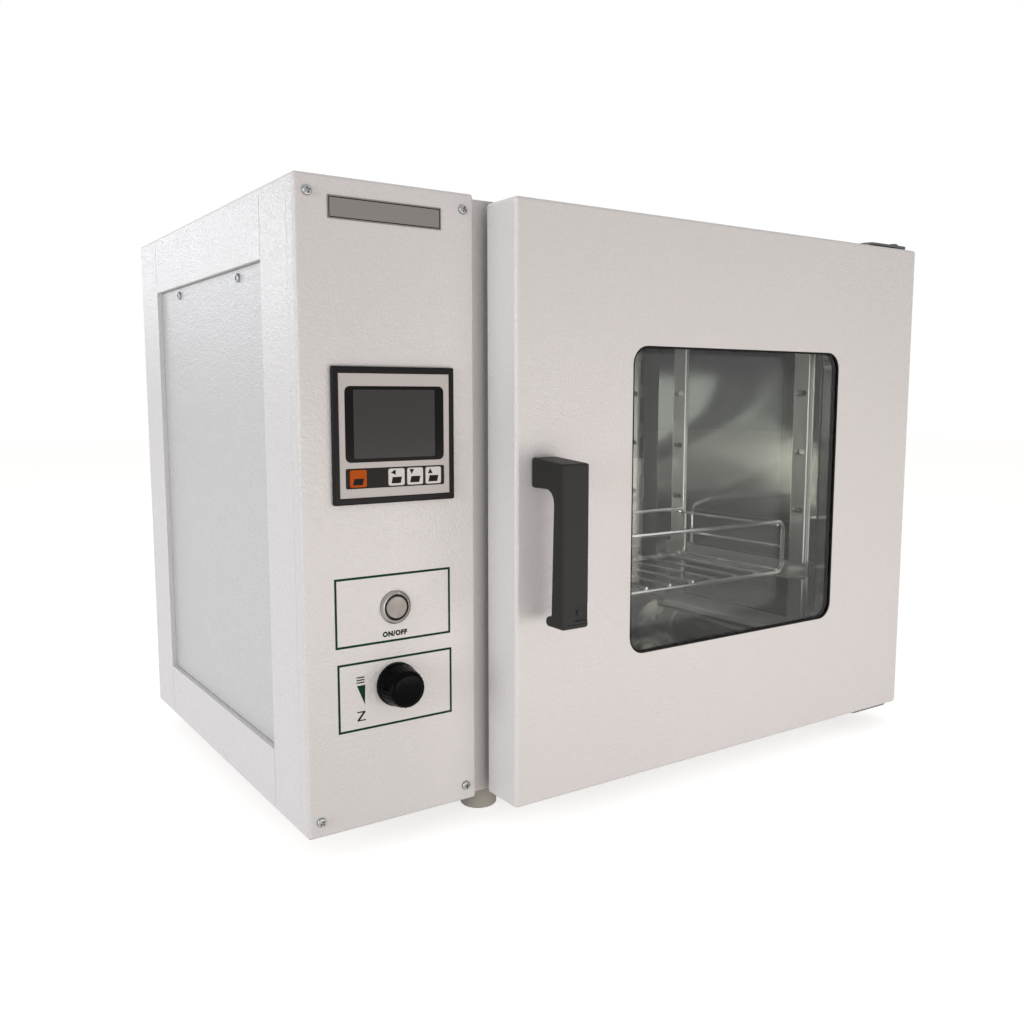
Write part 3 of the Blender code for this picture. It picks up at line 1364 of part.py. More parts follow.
def make_switch():
    front = -GAP - SWITCH_BEZEL
    well_radius = SWITCH_BUTTON_RADIUS + HOLE_CLEARANCE
    well_floor = front + SWITCH_WELL
    profile = [
        (well_radius, front),
        (well_radius + SWITCH_RIM, front - SWITCH_RIM / 4),
        (SWITCH_BEZEL_RADIUS - SWITCH_RIM, front),
        (SWITCH_BEZEL_RADIUS, front + SWITCH_RIM),
        (SWITCH_BEZEL_RADIUS, -GAP),
        (SWITCH_BARREL_RADIUS, -GAP),
        (SWITCH_BARREL_RADIUS, SWITCH_BARREL),
        (0.0, SWITCH_BARREL),
    ]
    profile = [(0.0, well_floor), (well_radius, well_floor)] + profile
    body = lathe(profile, "Y", (switch_x, SWITCH_RISE), steps=WHEEL_STEPS)
    smooth(new_object("switch_body", body, ZINC_PLATED))
    tip = front - SWITCH_BUTTON_PROUD
    edge = SWITCH_BUTTON_EDGE
    cap = [
        (0.0, tip),
        (SWITCH_BUTTON_RADIUS - edge, tip),
        (SWITCH_BUTTON_RADIUS, tip + edge),
        (SWITCH_BUTTON_RADIUS, tip + SWITCH_BUTTON_LENGTH),
        (0.0, tip + SWITCH_BUTTON_LENGTH),
    ]
    button = lathe(cap, "Y", (switch_x, SWITCH_RISE), steps=WHEEL_STEPS)
    smooth(new_object("switch_button", button, ZINC_PLATED, (switch_x, tip, SWITCH_RISE)))


def make_damper_knob():
    base = -GAP
    tip = base - KNOB_LENGTH
    steps = KNOB_FLUTES * 3
    bm = bmesh.new()

    def ring(radius, along, depth):
        """One ring of the knob, fluted by the depth."""
        verts = []
        for i in range(steps):
            angle = 2 * math.pi * i / steps
            own = radius - depth * (1 - math.cos(angle * KNOB_FLUTES)) / 2
            x, z = KNOB_MIDDLE + own * math.cos(angle), KNOB_RISE + own * math.sin(angle)
            verts.append(bm.verts.new((x, along, z)))
        return verts

    rings = [
        ring(KNOB_RADIUS, base, 0.0),
        ring(KNOB_RADIUS, base - KNOB_SKIRT, 0.0),
        ring(KNOB_RADIUS - KNOB_FLUTE_DEPTH / 2, base - KNOB_SKIRT - KNOB_SKIRT_STEP, KNOB_FLUTE_DEPTH),
        ring(KNOB_TIP_RADIUS, tip + KNOB_DOME, KNOB_FLUTE_DEPTH),
    ]
    rings += [ring(KNOB_TIP_RADIUS * wide, tip + KNOB_DOME * deep, 0.0) for wide, deep in KNOB_DOME_SHARES]
    bm.faces.new(rings[0])
    for first, second in zip(rings, rings[1:]):
        for i in range(steps):
            following = (i + 1) % steps
            bm.faces.new((first[i], first[following], second[following], second[i]))
    pole = bm.verts.new((KNOB_MIDDLE, tip, KNOB_RISE))
    for i in range(steps):
        bm.faces.new((rings[-1][i], rings[-1][(i + 1) % steps], pole))
    pivot = (KNOB_MIDDLE, 0.0, KNOB_RISE)
    knob = new_object("damper_knob", bm, BLACK_PLASTIC, pivot)
    bore = circle(KNOB_MIDDLE, KNOB_RISE, ROD_RADIUS + HOLE_CLEARANCE)
    combine(knob, prism(bore, "Y", base - KNOB_BORE_DEPTH, base + OVERRUN), "DIFFERENCE")
    smooth(knob)


def make_damper_shaft():
    pivot = (KNOB_MIDDLE, 0.0, KNOB_RISE)
    start = -KNOB_BORE_DEPTH
    rod = prism(circle(KNOB_MIDDLE, KNOB_RISE, ROD_RADIUS), "Y", start, shutter_back - SHUTTER_SHEET / 2)
    shaft = new_object("damper_shaft", rod, ZINC_PLATED, pivot)
    # The shutter is a round flap on a tapered arm: two circles and their outer tangents.
    tangent = math.acos((SHUTTER_HUB_RADIUS - SHUTTER_RADIUS) / SHUTTER_OFFSET)
    hub = arc((KNOB_MIDDLE, KNOB_RISE), SHUTTER_HUB_RADIUS, tangent, 2 * math.pi - tangent, 12)
    flap = arc((KNOB_MIDDLE + SHUTTER_OFFSET, KNOB_RISE), SHUTTER_RADIUS, -tangent, tangent, 24)
    bm = prism(hub + flap, "Y", shutter_back - SHUTTER_SHEET, shutter_back)
    combine(shaft, bm, "UNION")
    smooth(shaft)


def make_air_duct():
    mouth_x = KNOB_MIDDLE + SHUTTER_OFFSET
    bend_y = DUCT_MOUTH + DUCT_NECK
    path = [(mouth_x, DUCT_MOUTH)]
    path += arc((mouth_x + DUCT_BEND, bend_y), DUCT_BEND, math.pi, math.pi / 2, 8)
    path.append((chamber_left - LINER_SHEET - GAP, duct_run))
    tube = swept(
        [(x, y, KNOB_RISE) for x, y in path],
        circle(0.0, 0.0, DUCT_RADIUS, TUBE_SIDES), bore=circle(0.0, 0.0, DUCT_BORE, TUBE_SIDES),
    )
    smooth(new_object("air_duct", tube, ZINC_PLATED))


# Door

def make_door_skin():
    low = (door_left, door_front, 0.0)
    high = (WIDTH, door_back - SHEET - GAP, door_height)
    shell = soft_block(low, high, DOOR_EDGE_RADIUS, "+Y")
    skin = new_object("door_skin", shell, WHITE_POWDER_COAT, hinge_axis)
    inside = soft_block(
        (low[0] + SHEET, low[1] + SHEET, low[2] + SHEET),
        (high[0] - SHEET, high[1] + OVERRUN, high[2] - SHEET),
        DOOR_EDGE_RADIUS - SHEET, "+Y",
    )
    combine(skin, inside, "DIFFERENCE")
    cuts = prism(window_outline(0.0), "Y", door_front - OVERRUN, door_front + SHEET + OVERRUN)
    pin = circle(hinge_x, hinge_y, PIN_RADIUS + HOLE_CLEARANCE)
    prism(pin, "Z", door_height - SHEET - OVERRUN, door_height + OVERRUN, cuts)
    prism(pin, "Z", -OVERRUN, SHEET + OVERRUN, cuts)
    combine(skin, cuts, "DIFFERENCE")
    smooth(skin)


def window_outline(grow):
    return rectangle(
        window_left - grow, window_right + grow, window_bottom - grow, window_top + grow,
        WINDOW_RADIUS + grow, WINDOW_STEPS,
    )


def make_glass():
    outer_front = door_front + SHEET + GAP
    pane = prism(window_outline(GLASS_MARGIN), "Y", outer_front, outer_front + GLASS)
    smooth(new_object("window_outer_glass", pane, GLASS_PANE, hinge_axis))
    inner_back = door_back - SHEET - GAP
    pane = prism(window_outline(WINDOW_FLARE + GLASS_MARGIN), "Y", inner_back - GLASS, inner_back)
    smooth(new_object("window_inner_glass", pane, GLASS_PANE, hinge_axis))


def make_door_insulation():
    front = door_front + SHEET + GAP
    back = door_back - SHEET - GAP
    bm = soft_block(
        (door_left + SHEET + GAP, front, SHEET + GAP),
        (WIDTH - SHEET - GAP, back, door_height - SHEET - GAP),
        DOOR_EDGE_RADIUS - SHEET, "+Y",
    )
    core = new_object("door_insulation", bm, MINERAL_WOOL, hinge_axis)
    cuts = prism(window_outline(0.0), "Y", front - OVERRUN, back + OVERRUN)
    combine(core, cuts, "DIFFERENCE")
    ledge_back = front + GLASS + GAP + WINDOW_LEDGE
    flare = prism(window_outline(WINDOW_FLARE), "Y", ledge_back, back + OVERRUN)
    combine(core, flare, "DIFFERENCE")
    seat = WINDOW_FLARE + GLASS_MARGIN + GAP
    pockets = prism(window_outline(GLASS_MARGIN + GAP), "Y", front - OVERRUN, front + GLASS + GAP)
    prism(window_outline(seat), "Y", back - GLASS - GAP, back + OVERRUN, pockets)
    pin = circle(hinge_x, hinge_y, PIN_RADIUS + HOLE_CLEARANCE)
    prism(pin, "Z", door_height - PIN_IN_DOOR - OVERRUN, door_height + OVERRUN, pockets)
    prism(pin, "Z", -OVERRUN, PIN_IN_DOOR + OVERRUN, pockets)
    combine(core, pockets, "DIFFERENCE")


def gasket_loop(inset):
    return rectangle(
        door_left + GASKET_INSET_LEFT + inset, WIDTH - GASKET_INSET_RIGHT - inset,
        GASKET_RISE + inset, door_height - GASKET_DROP - inset, GASKET_RADIUS - inset, LOOP_STEPS,
    )


def make_door_liner():
    inset = DOOR_LINER_INSET
    back = door_back
    bm = block(
        (door_left + inset, back - SHEET, inset), (WIDTH - inset, back, door_height - inset),
    )
    liner = new_object("door_liner", bm, STAINLESS, hinge_axis)
    opening = prism(window_outline(WINDOW_FLARE), "Y", back - SHEET - OVERRUN, back + OVERRUN)
    combine(liner, opening, "DIFFERENCE")
    smooth(liner)


def make_door_gasket():
    """A round-backed silicone lip with a flat root on the door liner."""
    root = door_back + GAP
    tip = FRAME_SETBACK - GAP - LINER_SHEET - GAP
    half = GASKET_WIDTH / 2
    rise = tip - root
    groove = GASKET_GROOVE
    straight = rise * GASKET_ROOT_SHARE
    groove_floor = rise * GASKET_GROOVE_SHARE
    shoulder = [
        (half * math.cos(angle), straight + (rise - straight) * math.sin(angle)) for angle in GASKET_ANGLES
    ]
    section = [(-half, 0.0), (half, 0.0), (half, straight), *shoulder]
    section += [(groove / 2, groove_floor), (-groove / 2, groove_floor)]
    section += [(-a, b) for a, b in reversed(shoulder)]
    section.append((-half, straight))
    path = [(x, root, z) for x, z in gasket_loop(half)]
    loop = swept(path, section, closed=True, up=(0.0, 1.0, 0.0))
    smooth(new_object("door_gasket", loop, SILICONE, hinge_axis))


def make_handle():
    left = door_left + HANDLE_INSET
    seat = door_front - GAP
    face = door_front - HANDLE_REACH
    top = HANDLE_RISE + HANDLE_HEIGHT
    under = top - HANDLE_BLOCK
    bottom = HANDLE_RISE
    outline = [
        (seat, top),
        (face, top - HANDLE_PEAK),
        (face, bottom),
        (face + HANDLE_LIP_REACH, bottom),
        (face + HANDLE_LIP_REACH, bottom + HANDLE_LIP),
        (face + HANDLE_GRIP_BOTTOM, bottom + HANDLE_LIP),
        (face + HANDLE_GRIP_TOP, under),
        (seat, under),
    ]
    radii = [
        0.0, HANDLE_EDGE, HANDLE_EDGE, HANDLE_LIP_FILLET, HANDLE_LIP_FILLET,
        HANDLE_FOOT_FILLET, HANDLE_FILLET, 0.0,
    ]
    bm = prism(fillet(outline, radii), "X", left, left + HANDLE_WIDTH)
    handle = new_object("handle", bm, HANDLE_PLASTIC, hinge_axis)
    rounding = handle.modifiers.new("edge", "BEVEL")
    rounding.width = HANDLE_EDGE
    rounding.segments = 2
    rounding.limit_method = "ANGLE"
    rounding.angle_limit = HANDLE_EDGE_ANGLE
    pocket_low = bottom + HANDLE_POCKET_RISE
    pocket = block(
        (left + HANDLE_WIDTH - HANDLE_POCKET, face - OVERRUN, pocket_low),
        (left + HANDLE_WIDTH + OVERRUN, face + HANDLE_POCKET_DEPTH, pocket_low + HANDLE_POCKET),
    )
    combine(handle, pocket, "DIFFERENCE")
    smooth(handle)


def make_hinge_brackets():
    right = WIDTH - BRACKET_EDGE
    left = right - BRACKET_WIDTH
    wall = FRAME_SETBACK - GAP
    front = hinge_y - BRACKET_FRONT
    for name, door_edge, way in (("top", door_height, 1), ("bottom", 0.0, -1)):
        near = door_edge + way * BRACKET_CLEARANCE
        far = near + way * BRACKET_SHEET
        low, high = sorted((near, far))
        corners = [(left, front), (right, front), (right, wall), (left, wall)]
        plate = fillet(corners, [BRACKET_RADIUS, BRACKET_RADIUS, 0.0, 0.0], LOOP_STEPS)
        bracket = new_object(f"hinge_bracket_{name}", prism(plate, "Z", low, high), ZINC_PLATED)
        end = near - way * BRACKET_FLANGE
        flange_low, flange_high = sorted((near + way * BRACKET_SHEET / 2, end))
        flange = block((left, wall - BRACKET_SHEET, flange_low), (right, wall, flange_high))
        combine(bracket, flange, "UNION")
        head = far + way * PIN_HEAD
        tip = door_edge - way * PIN_IN_DOOR
        profile = [
            (0.0, head),
            (PIN_HEAD_FLAT, head),
            (PIN_HEAD_RADIUS, far + way * PIN_HEAD / 2),
            (PIN_HEAD_RADIUS, far - way * BRACKET_SHEET / 2),
            (PIN_RADIUS, far - way * BRACKET_SHEET / 2),
            (PIN_RADIUS, tip),
            (0.0, tip),
        ]
        combine(bracket, lathe(profile, "Z", (hinge_x, hinge_y)), "UNION")
        smooth(bracket)


def make_catch():
    left = door_left + CATCH_INSET
    middle = door_height / 2
    bm = soft_block(
        (left, door_back + CATCH_CLEARANCE, middle - CATCH_HEIGHT / 2),
        (left + CATCH_WIDTH, FRAME_SETBACK - GAP, middle + CATCH_HEIGHT / 2),
        CATCH_CLEARANCE, "+Y",
    )
    smooth(new_object("magnet_catch", bm, BLACK_PLASTIC))


make_control_panel()
make_cover_screws()
make_left_side_panel()
make_access_cover()
make_right_side_panel()
make_top_and_base()
make_rear_panel()
make_power_inlet()
make_feet()
make_front_frame()
make_partition_wall()
make_chamber_liner()
make_insulation()
make_duct_plate()
make_uprights()
make_runners()
make_wire_basket()
make_fan()
make_fan_motor()
make_heater()
make_probe()
make_controller()
make_keys()
make_switch()
make_damper_knob()
make_damper_shaft()
make_air_duct()
make_door_skin()
make_glass()
make_door_insulation()
make_door_liner()
make_door_gasket()
make_handle()
make_hinge_brackets()
make_catch()
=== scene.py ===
import bpy
import bmesh
import json
import math
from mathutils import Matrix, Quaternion, Vector


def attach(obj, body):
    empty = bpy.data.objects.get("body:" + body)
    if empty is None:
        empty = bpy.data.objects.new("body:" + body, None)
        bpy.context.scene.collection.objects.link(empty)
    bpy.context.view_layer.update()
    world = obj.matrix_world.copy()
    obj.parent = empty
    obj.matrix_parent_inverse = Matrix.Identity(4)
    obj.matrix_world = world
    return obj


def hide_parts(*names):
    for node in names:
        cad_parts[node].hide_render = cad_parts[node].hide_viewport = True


# Looks of a bench-top hot air sterilizer: white casing, control column, windowed door, wire basket.
# Places are written in millimetres from the casing's front left bottom corner, as on a drawing: x runs to
# the right, y to the back and z up. Lamps and camera are in the frame's metres.

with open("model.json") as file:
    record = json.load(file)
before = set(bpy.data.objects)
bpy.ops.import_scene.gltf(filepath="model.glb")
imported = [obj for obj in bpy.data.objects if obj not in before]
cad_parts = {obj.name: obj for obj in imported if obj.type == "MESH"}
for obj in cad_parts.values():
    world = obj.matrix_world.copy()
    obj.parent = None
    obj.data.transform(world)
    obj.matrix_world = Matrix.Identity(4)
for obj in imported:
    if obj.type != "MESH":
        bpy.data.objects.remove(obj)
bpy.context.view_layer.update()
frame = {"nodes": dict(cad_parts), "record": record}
cadNodes = frame["nodes"]
bodies = frame["record"]["behaviour"]["bodies"]
bodyOf = {node: body for body, members in bodies.items() for node in members}
casingCorner = Vector((-0.315, -0.163, 0.022))
print("frame loaded:", len(cadNodes), "nodes")


def spot(x, y, z):  # a place on the drawing, in the frame's metres
    return casingCorner + Vector((x, y, z)) / 1000


# Camera and studio

cameraSetup = {
    "place": (-0.56592, -0.78984, 0.33552),
    "yaw": 34.139,      # degrees to the right of straight ahead
    "pitch": 6.7015,    # degrees down
    "lens": 34.252,
    "sensor": 36.0,
}

studio = {
    "surroundWhite": 1.0,       # what the camera, metal and glass see
    "surroundLight": 0.40,      # what lights the matt surfaces
    "surroundTint": "#FFFBF8",
    "floorColour": "#E9E8E6",
    "floorGlow": 0.68,          # added for the camera, metal and glass, so that the floor looks white
    "floorSize": 14.0,
}

lamps = {  # watts, width and height, and the points from which and to which each shines
    "leftLight": {
        "power": 34.0, "size": (1.5, 1.5), "from": (-2.8, -0.65, 0.4), "to": (-0.3, 0.05, 0.2),
        "tint": "#F6F8FF",
    },
    "windowLight": {  # mirrored by the left side, where it shows the orange peel
        "power": 4.5, "size": (1.2, 0.6), "from": (-1.35, 2.75, 0.9), "to": (-0.315, 0.0, 0.4),
        "tint": "#F2F7FF",
    },
    "frontLight": {
        "power": 2.3, "size": (1.0, 0.22), "from": (0.08, -0.9, 0.12), "to": (0.06, 0.0, 0.1),
        "tint": "#FFF5F0",
    },
    "topLight": {
        "power": 4.0, "size": (1.6, 1.6), "from": (0.1, 0.8, 2.4), "to": (0.0, 0.0, 0.2),
        "tint": "#FFFFFF",
    },
}


def sRgb(hexColour):  # a hex colour in the linear values that a socket takes
    channels = []
    for start in (1, 3, 5):
        value = int(hexColour[start:start + 2], 16) / 255
        channels.append(value / 12.92 if value <= 0.04045 else ((value + 0.055) / 1.055) ** 2.4)
    return (*channels, 1.0)


def addNode(tree, kind, inputs=None, **settings):  # inputs are plain values or other nodes' sockets
    node = tree.nodes.new(kind)
    for name, value in settings.items():
        setattr(node, name, value)
    for name, value in (inputs or {}).items():
        if isinstance(value, bpy.types.NodeSocket):
            tree.links.new(value, node.inputs[name])
        else:
            node.inputs[name].default_value = value
    return node


def placeCamera():
    data = bpy.data.cameras.new("photo camera")
    data.lens = cameraSetup["lens"]
    data.sensor_width = cameraSetup["sensor"]
    camera = bpy.data.objects.new("photo camera", data)
    tilt = math.radians(90 - cameraSetup["pitch"])
    camera.rotation_euler = (tilt, 0.0, -math.radians(cameraSetup["yaw"]))
    camera.location = cameraSetup["place"]
    bpy.context.scene.collection.objects.link(camera)
    bpy.context.scene.camera = camera


def seenDirectly(tree):  # 1 for rays from the camera, and from metal or glass, else 0
    rays = addNode(tree, "ShaderNodeLightPath").outputs
    shiny = addNode(tree, "ShaderNodeMath", {0: rays["Is Glossy Ray"], 1: rays["Is Transmission Ray"]},
                    operation="MAXIMUM")
    either = addNode(tree, "ShaderNodeMath", {0: rays["Is Camera Ray"], 1: shiny.outputs[0]},
                     operation="MAXIMUM")
    return either.outputs[0]


def makeSurround():
    world = bpy.data.worlds.new("white studio surround")
    world.use_nodes = True
    tree = world.node_tree
    tree.nodes.clear()
    light = addNode(tree, "ShaderNodeBackground",
                    {"Color": sRgb(studio["surroundTint"]), "Strength": studio["surroundLight"]})
    white = addNode(tree, "ShaderNodeBackground",
                    {"Color": (1, 1, 1, 1), "Strength": studio["surroundWhite"]})
    both = addNode(tree, "ShaderNodeMixShader",
                   {0: seenDirectly(tree), 1: light.outputs[0], 2: white.outputs[0]})
    addNode(tree, "ShaderNodeOutputWorld", {"Surface": both.outputs[0]})
    bpy.context.scene.world = world


def makeFloor():
    bpy.ops.mesh.primitive_plane_add(size=studio["floorSize"], location=(0, 0, 0))
    floor = bpy.context.active_object
    floor.name = "floor"
    material = bpy.data.materials.new("matt white studio floor")
    material.use_nodes = True
    tree = material.node_tree
    tree.nodes.clear()
    matt = addNode(tree, "ShaderNodeBsdfDiffuse", {"Color": sRgb(studio["floorColour"])})
    glow = addNode(tree, "ShaderNodeEmission", {"Color": (1, 1, 1, 1), "Strength": studio["floorGlow"]})
    lit = addNode(tree, "ShaderNodeAddShader", {0: matt.outputs[0], 1: glow.outputs[0]})
    both = addNode(tree, "ShaderNodeMixShader",
                   {0: seenDirectly(tree), 1: matt.outputs[0], 2: lit.outputs[0]})
    addNode(tree, "ShaderNodeOutputMaterial", {"Surface": both.outputs[0]})
    floor.data.materials.append(material)


def makeLamps():
    for name, values in lamps.items():
        data = bpy.data.lights.new(name, "AREA")
        data.energy = values["power"]
        data.shape = "RECTANGLE"
        data.size, data.size_y = values["size"]
        data.color = sRgb(values["tint"])[:3]
        lamp = bpy.data.objects.new(name, data)
        lamp.location = values["from"]
        aim = Vector(values["to"]) - Vector(values["from"])
        lamp.rotation_euler = aim.to_track_quat("-Z", "Y").to_euler()
        bpy.context.scene.collection.objects.link(lamp)


bpy.context.scene.view_settings.view_transform = "Standard"
placeCamera()
makeSurround()
makeFloor()
makeLamps()
print("camera and studio ready")


# Materials

def surface(name, colour, **sockets):  # a Principled material with its constants on its own sockets
    material = bpy.data.materials.new(name)
    material.use_nodes = True
    shader = material.node_tree.nodes["Principled BSDF"]
    shader.inputs["Base Color"].default_value = sRgb(colour)
    for socket, value in sockets.items():
        shader.inputs[socket.replace("_", " ")].default_value = value
    return material, material.node_tree, shader


# A noise scale is a number of features to the metre: 330 is one every 3 mm.
powderLook = {
    "roughness": 0.24,
    "peel": {"Scale": 330.0, "Detail": 1.5, "Roughness": 0.4},
    "grain": {"Scale": 900.0, "Detail": 0.0},
    "bumpStrength": 0.75,
    "cloud": {"Scale": 5.0, "Detail": 2.0},
    "shade": (0.975, 1.02),             # darkest and palest share of the colour
}


def powderCoat(name, colour, peelDepth):
    # Polyester powder, sprayed and baked: pale and half glossy, with the shallow ripple of orange peel.
    look = powderLook
    material, tree, shader = surface(name, colour, Roughness=look["roughness"])
    place = addNode(tree, "ShaderNodeTexCoord").outputs["Object"]
    ripple = addNode(tree, "ShaderNodeTexNoise", {"Vector": place, **look["peel"]})
    grain = addNode(tree, "ShaderNodeTexNoise", {"Vector": place, **look["grain"]})
    both = addNode(tree, "ShaderNodeMath", {0: ripple.outputs["Fac"], 1: grain.outputs["Fac"]},
                   operation="ADD")
    bump = addNode(tree, "ShaderNodeBump",
                   {"Height": both.outputs[0], "Strength": look["bumpStrength"], "Distance": peelDepth})
    tree.links.new(bump.outputs[0], shader.inputs["Normal"])
    cloud = addNode(tree, "ShaderNodeTexNoise", {"Vector": place, **look["cloud"]})
    darkest, palest = look["shade"]
    shade = addNode(tree, "ShaderNodeMapRange",
                    {"Value": cloud.outputs["Fac"], "To Min": darkest, "To Max": palest})
    tone = addNode(tree, "ShaderNodeMix", {0: 1.0, 6: sRgb(colour), 7: shade.outputs[0]},
                   data_type="RGBA", blend_type="MULTIPLY")
    tree.links.new(tone.outputs[2], shader.inputs["Base Color"])
    return material


rolledLook = {
    "acrossLines": 1400.0, "alongLines": 12.0,      # lines 0.7 mm apart and 80 mm long
    "lines": {"Scale": 1.0, "Detail": 2.0},
    "lineStrength": 0.35,
    "roughnessShares": (0.8, 1.3),
    "waves": {"Scale": 16.0, "Detail": 1.0},
}


def rolledSteel(name, colour, roughness, grainAlong, grainDepth=0.00002, waviness=0.0):
    # Cold rolled stainless sheet: bright, with fine lines that run one way and stretch each reflection, and
    # a slight waviness of the flats that bends what they mirror.
    look = rolledLook
    material, tree, shader = surface(name, colour, Metallic=1.0, Roughness=roughness)
    place = addNode(tree, "ShaderNodeTexCoord").outputs["Object"]
    stretch = [look["acrossLines"]] * 3
    stretch["XYZ".index(grainAlong)] = look["alongLines"]
    lines = addNode(tree, "ShaderNodeMapping", {"Vector": place, "Scale": stretch})
    grain = addNode(tree, "ShaderNodeTexNoise", {"Vector": lines.outputs[0], **look["lines"]})
    smoothest, roughest = (roughness * share for share in look["roughnessShares"])
    spread = addNode(tree, "ShaderNodeMapRange",
                     {"Value": grain.outputs["Fac"], "To Min": smoothest, "To Max": roughest})
    tree.links.new(spread.outputs[0], shader.inputs["Roughness"])
    fine = addNode(tree, "ShaderNodeBump",
                   {"Height": grain.outputs["Fac"], "Strength": look["lineStrength"], "Distance": grainDepth})
    swell = addNode(tree, "ShaderNodeTexNoise", {"Vector": place, **look["waves"]})
    wave = addNode(tree, "ShaderNodeBump", {"Height": swell.outputs["Fac"], "Strength": 1.0,
                                            "Distance": waviness, "Normal": fine.outputs[0]})
    tree.links.new(wave.outputs[0], shader.inputs["Normal"])
    return material


platedLook = {"cloud": {"Scale": 90.0, "Detail": 4.0}, "roughnessSteps": (-0.08, 0.12)}


def platedSteel(name, colour, roughness):
    # Zinc plated and passivated: soft grey metal whose clouds show where the plating took.
    material, tree, shader = surface(name, colour, Metallic=1.0, Roughness=roughness)
    place = addNode(tree, "ShaderNodeTexCoord").outputs["Object"]
    cloud = addNode(tree, "ShaderNodeTexNoise", {"Vector": place, **platedLook["cloud"]})
    smoothest, roughest = (roughness + step for step in platedLook["roughnessSteps"])
    spread = addNode(tree, "ShaderNodeMapRange",
                     {"Value": cloud.outputs["Fac"], "To Min": smoothest, "To Max": roughest})
    tree.links.new(spread.outputs[0], shader.inputs["Roughness"])
    return material


plasticLook = {"grainDetail": 2.0, "bumpStrength": 0.5, "roughnessSteps": (-0.06, 0.06)}


def mouldedPlastic(name, colour, roughness, grainSize, grainDepth, **sockets):
    # Moulded in a spark-eroded tool: an even, fine grain, drawn a little coarse so that it shows.
    look = plasticLook
    material, tree, shader = surface(name, colour, Roughness=roughness, **sockets)
    place = addNode(tree, "ShaderNodeTexCoord").outputs["Object"]
    grain = addNode(tree, "ShaderNodeTexNoise",
                    {"Vector": place, "Scale": 1000.0 / grainSize, "Detail": look["grainDetail"]})
    bump = addNode(tree, "ShaderNodeBump",
                   {"Height": grain.outputs["Fac"], "Strength": look["bumpStrength"], "Distance": grainDepth})
    tree.links.new(bump.outputs[0], shader.inputs["Normal"])
    smoothest, roughest = (roughness + step for step in look["roughnessSteps"])
    spread = addNode(tree, "ShaderNodeMapRange",
                     {"Value": grain.outputs["Fac"], "To Min": smoothest, "To Max": roughest})
    tree.links.new(spread.outputs[0], shader.inputs["Roughness"])
    return material


def paneGlass(name, tint, ior):
    # Float glass, toughened: clear, with a faint green body. Lamp light passes it without a shadow, as it
    # does a flat pane. Its IOR is below the real 1.52, because a white studio has no dark corners to mirror.
    material, tree, shader = surface(name, tint, Roughness=0.0, Transmission_Weight=1.0, IOR=ior)
    rays = addNode(tree, "ShaderNodeLightPath").outputs
    clear = addNode(tree, "ShaderNodeBsdfTransparent", {"Color": sRgb(tint)})
    both = addNode(tree, "ShaderNodeMixShader",
                   {0: rays["Is Shadow Ray"], 1: shader.outputs[0], 2: clear.outputs[0]})
    tree.links.new(both.outputs[0], tree.nodes["Material Output"].inputs["Surface"])
    return material


woolLook = {
    "roughness": 0.95,
    "fibres": {"Scale": 260.0, "Detail": 6.0, "Distortion": 2.5},
    "bumpStrength": 0.9, "bumpDepth": 0.0008,
    "shade": (0.7, 1.15),
}


def mineralWool(name, colour):
    # Needled rock wool board: matt, with a tangle of fibres.
    look = woolLook
    material, tree, shader = surface(name, colour, Roughness=look["roughness"])
    place = addNode(tree, "ShaderNodeTexCoord").outputs["Object"]
    tangle = addNode(tree, "ShaderNodeTexNoise", {"Vector": place, **look["fibres"]})
    bump = addNode(tree, "ShaderNodeBump", {"Height": tangle.outputs["Fac"],
                                            "Strength": look["bumpStrength"], "Distance": look["bumpDepth"]})
    tree.links.new(bump.outputs[0], shader.inputs["Normal"])
    darkest, palest = look["shade"]
    shade = addNode(tree, "ShaderNodeMapRange",
                    {"Value": tangle.outputs["Fac"], "To Min": darkest, "To Max": palest})
    tone = addNode(tree, "ShaderNodeMix", {0: 1.0, 6: sRgb(colour), 7: shade.outputs[0]},
                   data_type="RGBA", blend_type="MULTIPLY")
    tree.links.new(tone.outputs[2], shader.inputs["Base Color"])
    return material


def turnedSteel(name, colour, roughness, centre):
    # Stainless faced on a lathe: circular tool marks that spread each highlight into a bow tie.
    material, tree, shader = surface(name, colour, Metallic=1.0, Roughness=roughness, Anisotropic=0.85)
    place = addNode(tree, "ShaderNodeTexCoord").outputs["Object"]
    shift = addNode(tree, "ShaderNodeMapping", {"Vector": place, "Location": (-centre.x, 0.0, -centre.z)})
    apart = addNode(tree, "ShaderNodeSeparateXYZ", {0: shift.outputs[0]})
    back = addNode(tree, "ShaderNodeMath", {0: apart.outputs["X"], 1: -1.0}, operation="MULTIPLY")
    around = addNode(tree, "ShaderNodeCombineXYZ", {"X": apart.outputs["Z"], "Z": back.outputs[0]})
    tangent = addNode(tree, "ShaderNodeVectorMath", {0: around.outputs[0]}, operation="NORMALIZE")
    tree.links.new(tangent.outputs[0], shader.inputs["Tangent"])
    return material


switchMiddle = (71.0, 161.5)    # x and z of the push switch's axis
switchCentre = spot(switchMiddle[0], 0, switchMiddle[1])

# Paints: colour, and the depth of the orange peel in metres.
whitePaint = powderCoat("white polyester powder coat", "#E6E4E3", 0.0004)
# The access cover's white is a little darker than the side panel's around it.
coverPaint = powderCoat("white powder coat, a little darker", "#D4D4D4", 0.0004)
greyPaint = powderCoat("light grey powder coat", "#BDBBB8", 0.00016)
